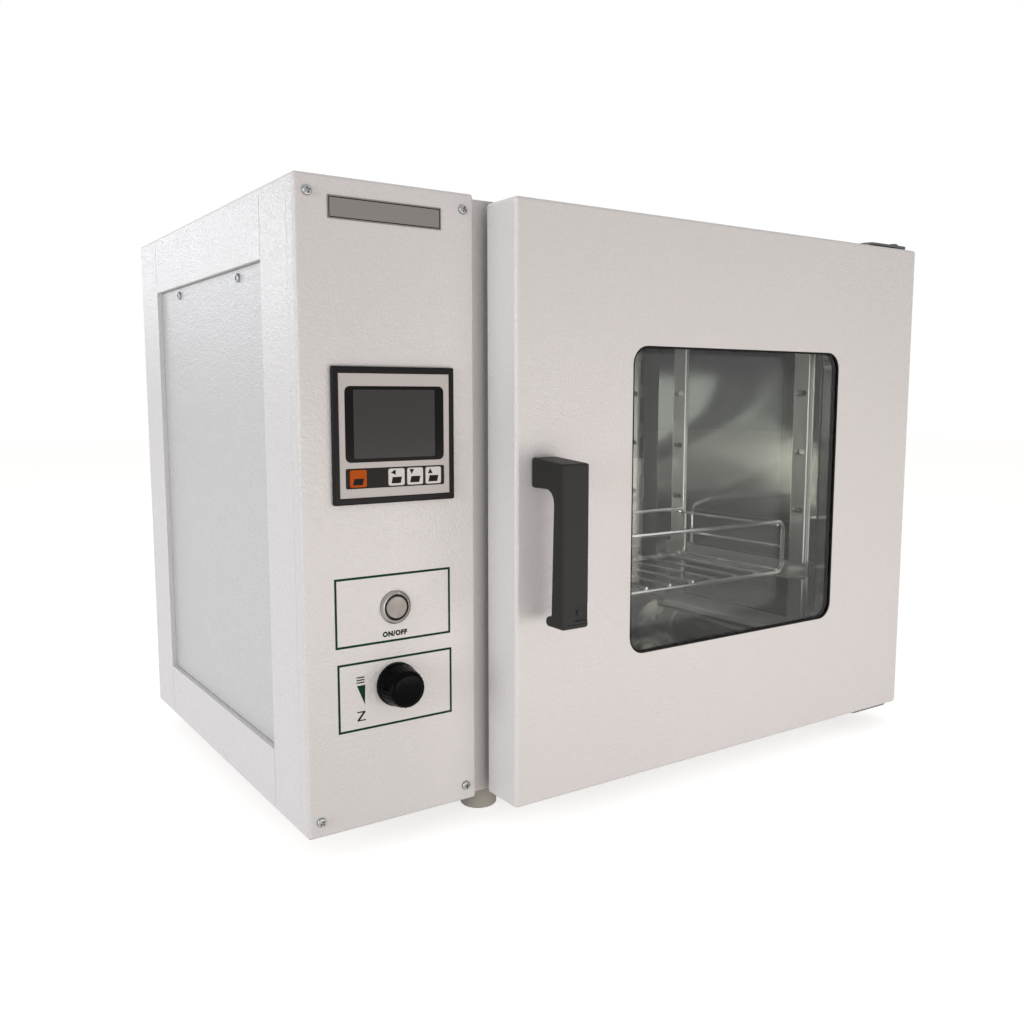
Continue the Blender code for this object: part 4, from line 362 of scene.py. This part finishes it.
# Bare metals: colour, roughness, the way of the lines, and the depths of lines and waves in metres.
linerSteel = rolledSteel("bright rolled stainless sheet", "#C3C4C0", 0.085, "Z", 0.000001, 0.00003)
channelSteel = rolledSteel("brushed stainless channel", "#E2E2DE", 0.32, "Z", 0.000001)
wireSteel = rolledSteel("electropolished stainless wire", "#F0F0EC", 0.24, "X", 0.000001)
sleeveSteel = rolledSteel("polished stainless sleeve", "#9FA19D", 0.08, "X", 0.000001, 0.0004)
plateFoil = rolledSteel("brushed aluminium foil", "#827D7A", 0.4, "X")
zincSteel = platedSteel("bright zinc plated steel", "#A0A2A2", 0.3)
# The hinge brackets' zinc is much darker than the bright zinc: painted shade, for brackets whose edges and
# undersides lie in shadow.
hingeSteel = platedSteel("zinc plated steel with painted shade", "#5E5E5C", 0.42)
switchSteel = turnedSteel("lathe-faced stainless steel", "#96938E", 0.27, switchCentre)
buttonSteel = turnedSteel("lathe-faced stainless button", "#6F6C68", 0.3, switchCentre)
# Plastics, films, inks and rubbers: colour, roughness, grain in millimetres, and its depth in metres.
blackAbs = mouldedPlastic("moulded black ABS", "#171514", 0.38, 0.5, 0.00003, Specular_IOR_Level=0.13)
blackPhenolic = mouldedPlastic("polished black phenolic", "#020202", 0.2, 1.2, 0.00001,
                               Specular_IOR_Level=0.05)
handleNylon = mouldedPlastic("glass-filled nylon", "#2B2B29", 0.5, 0.9, 0.00012, Specular_IOR_Level=0.18)
faceFilm = mouldedPlastic("printed polyester film", "#C6C1BE", 0.42, 0.8, 0.00002)
whiteKeyFilm = mouldedPlastic("white key film", "#DCDAD7", 0.4, 0.8, 0.00002)
orangeKeyFilm = mouldedPlastic("orange key film", "#BC5205", 0.4, 0.8, 0.00002, Specular_IOR_Level=0.1)
smokedAcrylic = mouldedPlastic("smoked acrylic", "#0F0E0D", 0.16, 2.0, 0.000005, Specular_IOR_Level=0.1)
liquidCrystal = mouldedPlastic("liquid crystal glass, unlit", "#3F3D3C", 0.22, 2.0, 0.000005,
                               Specular_IOR_Level=0.17)
greenInk = mouldedPlastic("green screen-printing ink", "#063526", 0.5, 0.6, 0.00002,
                          Specular_IOR_Level=0.1)
darkInk = mouldedPlastic("near black screen-printing ink", "#161512", 0.5, 0.6, 0.00002,
                         Specular_IOR_Level=0.1)
trimRubber = mouldedPlastic("black extruded trim", "#121211", 0.6, 0.7, 0.00004, Specular_IOR_Level=0.12)
siliconeRubber = mouldedPlastic("extruded silicone rubber", "#A9A39B", 0.62, 0.9, 0.00006)
footRubber = mouldedPlastic("moulded grey rubber", "#B7B3AA", 0.7, 0.8, 0.0001)
inletPlastic = mouldedPlastic("moulded black nylon", "#161615", 0.45, 0.6, 0.00006)
woolBoard = mineralWool("rock wool board", "#BFB184")
paneMaterial = paneGlass("toughened float glass", "#FAFBFA", 1.27)
print("materials ready")


# Pieces from the CAD

# The folded sheet, wire, glass and moulded parts keep the CAD's shape. Each gets its triangles merged,
# its round faces shaded round, a fine worn edge where the real one has it, and its material.
finishes = {
    whitePaint: ["left_side_panel", "right_side_panel", "top_panel", "control_panel", "door_skin",
                 "front_frame"],
    coverPaint: ["access_cover"],
    greyPaint: ["base_pan", "rear_panel"],
    linerSteel: ["chamber_liner", "duct_plate", "door_liner", "heater_element", "temperature_probe"],
    channelSteel: ["shelf_upright_front_left", "shelf_upright_front_right", "shelf_upright_rear_left",
                   "shelf_upright_rear_right", "shelf_runner_left_1", "shelf_runner_right_1",
                   "shelf_runner_left_2", "shelf_runner_right_2"],
    wireSteel: ["wire_basket"],
    zincSteel: ["partition_wall", "fan_wheel", "fan_shaft", "fan_motor", "damper_shaft", "air_duct"],
    hingeSteel: ["hinge_bracket_top", "hinge_bracket_bottom"],
    blackAbs: ["controller_case", "key_strip", "magnet_catch"],
    blackPhenolic: ["damper_knob"],
    handleNylon: ["handle"],
    faceFilm: ["controller_face"],
    whiteKeyFilm: ["key_2", "key_3", "key_4"],
    orangeKeyFilm: ["key_1"],
    smokedAcrylic: ["display_lens"],
    siliconeRubber: ["door_gasket"],
    footRubber: ["foot_front_left", "foot_front_right", "foot_rear_left", "foot_rear_right"],
    inletPlastic: ["power_inlet"],
    woolBoard: ["insulation_jacket", "door_insulation"],
    paneMaterial: ["window_outer_glass", "window_inner_glass"],
    switchSteel: ["switch_body"],
    buttonSteel: ["switch_button"],
}
wornEdges = {  # millimetres
    "left_side_panel": 0.3, "access_cover": 0.3, "door_skin": 0.25, "controller_case": 0.25,
    "duct_plate": 0.15, "window_outer_glass": 0.4, "window_inner_glass": 0.4,
    "front_frame": 0.3, "hinge_bracket_top": 0.3, "hinge_bracket_bottom": 0.3,
}
meshCare = {
    "mergeWithin": 0.005,   # millimetres between points that become one
    "flatWithin": 0.6,      # degrees between triangles that become one flat face
    "wornFrom": 50,         # degrees from which an edge is worn
    "softFrom": 30,         # degrees from which a new piece's edge is softened
    "smoothBelow": 35,      # degrees below which two faces are shaded as one
}


def pickOnly(piece):
    bpy.ops.object.select_all(action="DESELECT")
    piece.select_set(True)
    bpy.context.view_layer.objects.active = piece


def applyAll(piece):  # fixes the piece's modifiers, in their order
    pickOnly(piece)
    for step in list(piece.modifiers):
        bpy.ops.object.modifier_apply(modifier=step.name)


def softenEdges(piece, width, segments=2, fromAngle=meshCare["softFrom"]):  # width in millimetres
    edge = piece.modifiers.new("soft edge", "BEVEL")
    edge.width = width / 1000
    edge.segments = segments
    edge.limit_method = "ANGLE"
    edge.angle_limit = math.radians(fromAngle)
    applyAll(piece)


def settle(piece, material, body):  # a finished piece: shaded, dressed, riding on its body
    pickOnly(piece)
    bpy.ops.object.transform_apply(location=True, rotation=True, scale=True)
    bpy.ops.object.shade_smooth_by_angle(angle=math.radians(meshCare["smoothBelow"]))
    flats = piece.modifiers.new("flat faces stay flat", "WEIGHTED_NORMAL")
    flats.keep_sharp = True
    applyAll(piece)
    piece.data.materials.clear()
    piece.data.materials.append(material)
    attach(piece, body)


def refine(node, material):
    piece = bpy.data.objects.new(node + "_finished", cadNodes[node].data.copy())
    bpy.context.scene.collection.objects.link(piece)
    pickOnly(piece)
    bpy.ops.object.mode_set(mode="EDIT")
    bpy.ops.mesh.select_all(action="SELECT")
    bpy.ops.mesh.remove_doubles(threshold=meshCare["mergeWithin"] / 1000)
    bpy.ops.mesh.dissolve_limited(angle_limit=math.radians(meshCare["flatWithin"]))
    bpy.ops.object.mode_set(mode="OBJECT")
    if node in wornEdges:
        softenEdges(piece, wornEdges[node], fromAngle=meshCare["wornFrom"])
    settle(piece, material, bodyOf[node])
    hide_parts(node)


for material, members in finishes.items():
    for node in members:
        refine(node, material)
print("CAD parts finished")


# Small modelling steps

def drawBack(thickness):  # in edit mode: the selected flat face gets its thickness, all faces outwards
    bpy.ops.mesh.extrude_region_move(TRANSFORM_OT_translate={"value": (0, thickness / 1000, 0)})
    bpy.ops.mesh.select_all(action="SELECT")
    bpy.ops.mesh.normals_make_consistent(inside=False)
    bpy.ops.object.mode_set(mode="OBJECT")


def flatPlate(name, x, z, front, thickness, radius=0.0, rim=0.0):
    # A rectangle facing the front, with round corners, drawn back to its thickness. A rim leaves only
    # a frame of that width.
    bpy.ops.object.select_all(action="DESELECT")
    middle = spot((x[0] + x[1]) / 2, front, (z[0] + z[1]) / 2)
    bpy.ops.mesh.primitive_plane_add(size=1, location=middle, rotation=(math.pi / 2, 0, 0))
    piece = bpy.context.active_object
    piece.name = name
    piece.scale = ((x[1] - x[0]) / 1000, (z[1] - z[0]) / 1000, 1)
    bpy.ops.object.transform_apply(location=False, rotation=False, scale=True)
    bpy.ops.object.mode_set(mode="EDIT")
    bpy.ops.mesh.select_all(action="SELECT")
    if radius:
        bpy.ops.mesh.bevel(offset=radius / 1000, segments=6, affect="VERTICES")
        bpy.ops.mesh.select_all(action="SELECT")
    if rim:
        bpy.ops.mesh.inset(thickness=rim / 1000, use_even_offset=True)
        bpy.ops.mesh.delete(type="FACE")
        bpy.ops.mesh.select_all(action="SELECT")
    drawBack(thickness)
    return piece


def flatShape(name, corners, front, thickness):  # the same from a list of corners, each an x and a z
    bpy.ops.object.select_all(action="DESELECT")
    bpy.ops.mesh.primitive_circle_add(vertices=len(corners), radius=0.001, fill_type="NGON",
                                      location=(0, 0, 0))
    piece = bpy.context.active_object
    piece.name = name
    for vertex, (x, z) in zip(piece.data.vertices, corners):
        vertex.co = spot(x, front, z)
    bpy.ops.object.mode_set(mode="EDIT")
    bpy.ops.mesh.select_all(action="SELECT")
    drawBack(thickness)
    return piece


def roundBlock(sides, radius, height, middle):  # a cylinder facing the front; its middle is in metres
    bpy.ops.object.select_all(action="DESELECT")
    bpy.ops.mesh.primitive_cylinder_add(vertices=sides, radius=radius / 1000, depth=height / 1000,
                                        location=middle, rotation=(math.pi / 2, 0, 0))
    return bpy.context.active_object


def joined(name, pieces):
    pickOnly(pieces[0])
    for piece in pieces[1:]:
        piece.select_set(True)
    if len(pieces) > 1:
        bpy.ops.object.join()
    pieces[0].name = name
    return pieces[0]


# Column print

columnPrint = {
    "front": -0.07, "thickness": 0.1, "lineWidth": 1.7,
    "frames": [((23.3, 117.3), (135.9, 186.6)), ((24.4, 118.2), (73.7, 124.6))],
    "openLines": [((39.0, 45.2), (108.9, 109.8)), ((39.0, 45.2), (110.8, 111.7)),
                  ((39.0, 45.2), (112.7, 113.6))],
    "wedge": [(39.3, 107.2), (45.8, 107.2), (45.4, 92.4)],
    "closedMark": [(39.2, 87.9), (45.6, 87.9), (45.6, 87.0), (41.2, 81.7), (45.8, 81.7), (45.8, 80.8),
                   (39.2, 80.8), (39.2, 81.7), (43.7, 87.0), (39.2, 87.0)],
}
switchWord = {
    "text": "ON/OFF", "place": (70.4, 140.4), "height": 3.5, "boldness": 0.3, "spacing": 1.16,
    "capitalShare": 0.72,       # of the font's size that a capital letter is high
}


def makeSwitchWord():
    bpy.ops.object.select_all(action="DESELECT")
    x, z = switchWord["place"]
    bpy.ops.object.text_add(location=spot(x, columnPrint["front"], z), rotation=(math.pi / 2, 0, 0))
    letters = bpy.context.active_object.data
    letters.body = switchWord["text"]
    letters.align_x = "CENTER"
    letters.size = switchWord["height"] / switchWord["capitalShare"] / 1000
    letters.offset = switchWord["boldness"] / 1000
    letters.space_character = switchWord["spacing"]
    letters.extrude = columnPrint["thickness"] / 2 / 1000       # to the front and to the back
    bpy.ops.object.convert(target="MESH")
    return bpy.context.active_object


def makeColumnPrint():
    front, thickness = columnPrint["front"], columnPrint["thickness"]
    marks = [flatPlate("frame", x, z, front, thickness, rim=columnPrint["lineWidth"])
             for x, z in columnPrint["frames"]]
    marks.append(flatShape("wedge", columnPrint["wedge"], front, thickness))
    settle(joined("column_print_green", marks), greenInk, "cabinet")
    marks = [flatPlate("line", x, z, front, thickness) for x, z in columnPrint["openLines"]]
    marks.append(flatShape("closed", columnPrint["closedMark"], front, thickness))
    marks.append(makeSwitchWord())
    settle(joined("column_print_dark", marks), darkInk, "cabinet")


makeColumnPrint()
print("column print done")


# Name plate, left bare

namePlate = {"x": (24.0, 112.0), "z": (433.3, 449.0), "front": -0.45, "thickness": 0.42, "radius": 0.8}
plateBorder = {"x": (24.9, 111.1), "z": (434.2, 448.1), "front": -0.48, "thickness": 0.06, "radius": 0.5,
               "rim": 0.7}
plateEdge = 0.12


def makeNamePlate():
    plate = flatPlate("name_plate", **namePlate)
    softenEdges(plate, plateEdge)
    settle(plate, plateFoil, "cabinet")
    settle(flatPlate("name_plate_border", **plateBorder), darkInk, "cabinet")


makeNamePlate()
print("name plate done")


# Screws

panScrew = {
    "headRadius": 3.5, "headHeight": 2.3,
    "domeShare": 0.62,          # of the height that the bevel takes off
    "recessReach": 2.2, "recessWidth": 1.1, "recessDepth": 1.6,
}
screwSets = {  # the screws of the CAD: each one's place, and how far its cross is turned
    "panel_screw": {
        "facing": (0, -1, 0),
        "places": [((9.7, 0.0, 449.8), 20), ((130.3, 0.0, 449.8), 65), ((9.7, 0.0, 12.2), 40),
                   ((130.3, 0.0, 12.2), 8)],
    },
    "access_cover_screw": {
        "facing": (-1, 0, 0),
        "places": [((4.5, 124.7, 404.8), 30), ((4.5, 284.2, 404.8), 75)],
    },
}
backScrews = {  # on faces that look to the back, the door's among them: the face's y, then each x and z
    "rear_panel_screw": {
        "face": 399.0, "body": "cabinet", "size": 0.85,
        "places": [(9, 10), (215, 10), (415, 10), (621, 10), (9, 452), (215, 452), (415, 452), (621, 452),
                   (9, 160), (9, 310), (621, 160), (621, 310)],
    },
    "inlet_screw": {"face": 401.8, "body": "cabinet", "size": 0.6, "places": [(46.5, 55), (93.5, 55)]},
    "door_liner_screw": {
        "face": 2.5, "body": "door", "size": 0.7,
        "places": [(175, 24), (305, 24), (435, 24), (550, 24), (175, 434), (305, 434), (435, 434), (550, 434),
                   (175, 130), (175, 330), (606, 130), (606, 229), (606, 330)],
    },
}
turnStep = 37       # degrees from one back screw's cross to the next


def makeScrewHead():
    # A pan head that faces the front, its seat at the origin: domed by bevels, with a cross recess.
    height = panScrew["headHeight"] / 1000
    head = roundBlock(40, panScrew["headRadius"], panScrew["headHeight"], (0, -height / 2, 0))
    bpy.ops.object.transform_apply(location=True, rotation=True, scale=True)
    bpy.ops.object.mode_set(mode="EDIT")
    bpy.ops.mesh.select_mode(type="EDGE")
    bpy.ops.mesh.select_all(action="DESELECT")
    mesh = bmesh.from_edit_mesh(head.data)
    for edge in mesh.edges:  # the rim of the outer face
        edge.select_set(all(vertex.co.y < -height / 2 for vertex in edge.verts))
    bmesh.update_edit_mesh(head.data)
    bpy.ops.mesh.bevel(offset=height * panScrew["domeShare"], segments=5, profile=0.5)
    bpy.ops.object.mode_set(mode="OBJECT")
    reach, width, depth = (panScrew[name] / 1000 for name in ("recessReach", "recessWidth", "recessDepth"))
    for size in ((reach * 2, depth * 2, width), (width, depth * 2, reach * 2)):
        bpy.ops.object.select_all(action="DESELECT")
        bpy.ops.mesh.primitive_cube_add(size=1, location=(0, -height, 0))
        cutter = bpy.context.active_object
        cutter.scale = size
        bpy.ops.object.transform_apply(location=True, rotation=True, scale=True)
        cut = head.modifiers.new("cross recess", "BOOLEAN")
        cut.operation = "DIFFERENCE"
        cut.object = cutter
        applyAll(head)
        bpy.data.objects.remove(cutter)
    return head


def driveScrew(model, name, place, facing, body, turn, node=None, size=1.0):
    # A copy of the screw head at its place: facing is the way that its head points.
    screw = bpy.data.objects.new(name, model.data.copy())
    bpy.context.scene.collection.objects.link(screw)
    screw.rotation_mode = "QUATERNION"
    aim = Vector((0, -1, 0)).rotation_difference(Vector(facing))
    screw.rotation_quaternion = Quaternion(facing, math.radians(turn)) @ aim
    screw.location = place
    screw.scale = (size, size, size)
    settle(screw, zincSteel, body)
    if node:
        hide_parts(node)


def makeScrews():
    model = makeScrewHead()
    for name, values in screwSets.items():
        for number, (place, turn) in enumerate(values["places"], start=1):
            node = f"{name}_{number}"
            driveScrew(model, node + "_head", spot(*place), values["facing"], "cabinet", turn, node)
    for name, values in backScrews.items():
        for number, (x, z) in enumerate(values["places"], start=1):
            driveScrew(model, f"{name}_{number}", spot(x, values["face"], z), (0, 1, 0), values["body"],
                       number * turnStep % 90, size=values["size"])
    bpy.data.objects.remove(model)


makeScrews()
print("screws done")


# Data plate, left bare, and earth terminal

dataPlate = {"x": (140.0, 215.0), "z": (45.0, 90.0), "front": 399.0, "thickness": 0.4, "radius": 2.0}
earthTerminal = {
    "place": (120.0, 55.0), "softEdge": 0.2,
    "rounds": [  # washer, nut and stud: sides, radius, the y that each stands on, and height
        (32, 6.0, 399.0, 0.9), (6, 4.6, 399.9, 2.4), (24, 1.9, 399.0, 3.9),
    ],
}


def makeRearFittings():
    settle(flatPlate("data_plate", **dataPlate), plateFoil, "cabinet")
    x, z = earthTerminal["place"]
    rounds = []
    for sides, radius, face, height in earthTerminal["rounds"]:
        block = roundBlock(sides, radius, height, spot(x, face + height / 2, z))
        softenEdges(block, earthTerminal["softEdge"])
        rounds.append(block)
    settle(joined("earth_terminal", rounds), zincSteel, "cabinet")


makeRearFittings()
print("rear fittings done")


# Controller print

displayScreen = {"x": (38.9, 103.4), "z": (271.0, 319.0), "front": -3.76, "thickness": 0.1, "radius": 0.8}
keyPrint = {
    "front": -4.26, "thickness": 0.1, "level": 257.05,
    "bar": [(-4.2, -4.5), (3.2, -4.5), (4.2, 0.0), (-3.2, 0.0)],
    "keys": [  # body, middle of the key, and its arrow
        ("set_key", 41.55, []),
        ("left_key", 71.45, [(-4.6, 3.4), (-0.8, 1.5), (-0.8, 5.3)]),
        ("down_key", 86.5, [(-4.7, 5.2), (-0.9, 5.2), (-2.8, 1.5)]),
        ("up_key", 101.55, [(-4.5, 1.5), (-0.7, 1.5), (-2.6, 5.2)]),
    ],
}


def makeControllerPrint():
    settle(flatPlate("display_screen", **displayScreen), liquidCrystal, "cabinet")
    for number, (body, middle, arrow) in enumerate(keyPrint["keys"], start=1):
        marks = []
        for outline in (keyPrint["bar"], arrow):
            if outline:
                corners = [(middle + x, keyPrint["level"] + z) for x, z in outline]
                marks.append(flatShape("mark", corners, keyPrint["front"], keyPrint["thickness"]))
        settle(joined(f"key_{number}_print", marks), darkInk, body)


makeControllerPrint()
print("controller print done")


# Window trim, spacer and sleeve

windowOpening = {"x": (265.0, 518.3), "z": (103.8, 354.5), "radius": 15.0}
windowRings = {  # how far each ring's outline lies outside the opening, its wall, front and thickness
    "window_trim": {"grow": 0.0, "wall": 1.6, "front": -36.6, "thickness": 0.75},
    "window_frit": {"grow": 10.5, "wall": 10.9, "front": -31.42, "thickness": 0.1},
    "window_spacer": {"grow": -0.05, "wall": 0.7, "front": -31.4, "thickness": 3.3},
    "window_ledge_plate": {"grow": 19.9, "wall": 20.0, "front": -28.1, "thickness": 0.4},
    "window_sleeve": {"grow": 19.9, "wall": 0.8, "front": -27.7, "thickness": 24.6},
}


def windowRing(name, material):  # a closed band round the window
    values = windowRings[name]
    grow = values["grow"]
    x, z = ((low - grow, high + grow) for low, high in (windowOpening["x"], windowOpening["z"]))
    ring = flatPlate(name, x, z, values["front"], values["thickness"], windowOpening["radius"] + grow,
                     values["wall"])
    settle(ring, material, "door")


def makeWindowTrim():
    # A thin extrusion lines the edge of the opening. The outer pane has a black fired border and rests on
    # a black spacer. Between the panes a polished plate and sleeve cover the insulation.
    windowRing("window_trim", trimRubber)
    windowRing("window_frit", darkInk)
    windowRing("window_spacer", trimRubber)
    windowRing("window_ledge_plate", sleeveSteel)
    windowRing("window_sleeve", sleeveSteel)


makeWindowTrim()
print("window trim done")


# Switch seal and handle cap

switchSeal = {"front": -2.45, "inner": 8.45, "outer": 9.8, "thickness": 0.3, "softEdge": 0.08}
handleCap = {"middle": (181.6, -76.2, 157.4), "radius": 1.9, "height": 0.8, "softEdge": 0.25}
mouldLine = {"x": (170.5, 189.2), "z": (148.6, 149.2), "front": -77.06, "thickness": 0.12}


def makeSwitchSeal():
    # The dark rubber seal between the bezel and the button: a flat ring with a soft edge.
    values = switchSeal
    bpy.ops.object.select_all(action="DESELECT")
    x, z = switchMiddle
    bpy.ops.mesh.primitive_circle_add(vertices=64, radius=values["outer"] / 1000, fill_type="NGON",
                                      location=spot(x, values["front"], z), rotation=(math.pi / 2, 0, 0))
    ring = bpy.context.active_object
    ring.name = "switch_seal"
    bpy.ops.object.mode_set(mode="EDIT")
    bpy.ops.mesh.select_all(action="SELECT")
    bpy.ops.mesh.inset(thickness=(values["outer"] - values["inner"]) / 1000)
    bpy.ops.mesh.delete(type="FACE")
    bpy.ops.mesh.select_all(action="SELECT")
    drawBack(values["thickness"])
    softenEdges(ring, values["softEdge"])
    settle(ring, trimRubber, "cabinet")


def makeHandleCap():
    # The plug over the handle's lower screw, and the mould line below it.
    cap = roundBlock(32, handleCap["radius"], handleCap["height"], spot(*handleCap["middle"]))
    cap.name = "handle_cap"
    softenEdges(cap, handleCap["softEdge"], segments=3)
    settle(cap, handleNylon, "door")
    settle(flatPlate("handle_mould_line", **mouldLine), trimRubber, "door")


makeSwitchSeal()
makeHandleCap()
print("switch seal and handle cap done")


print("scene ready")
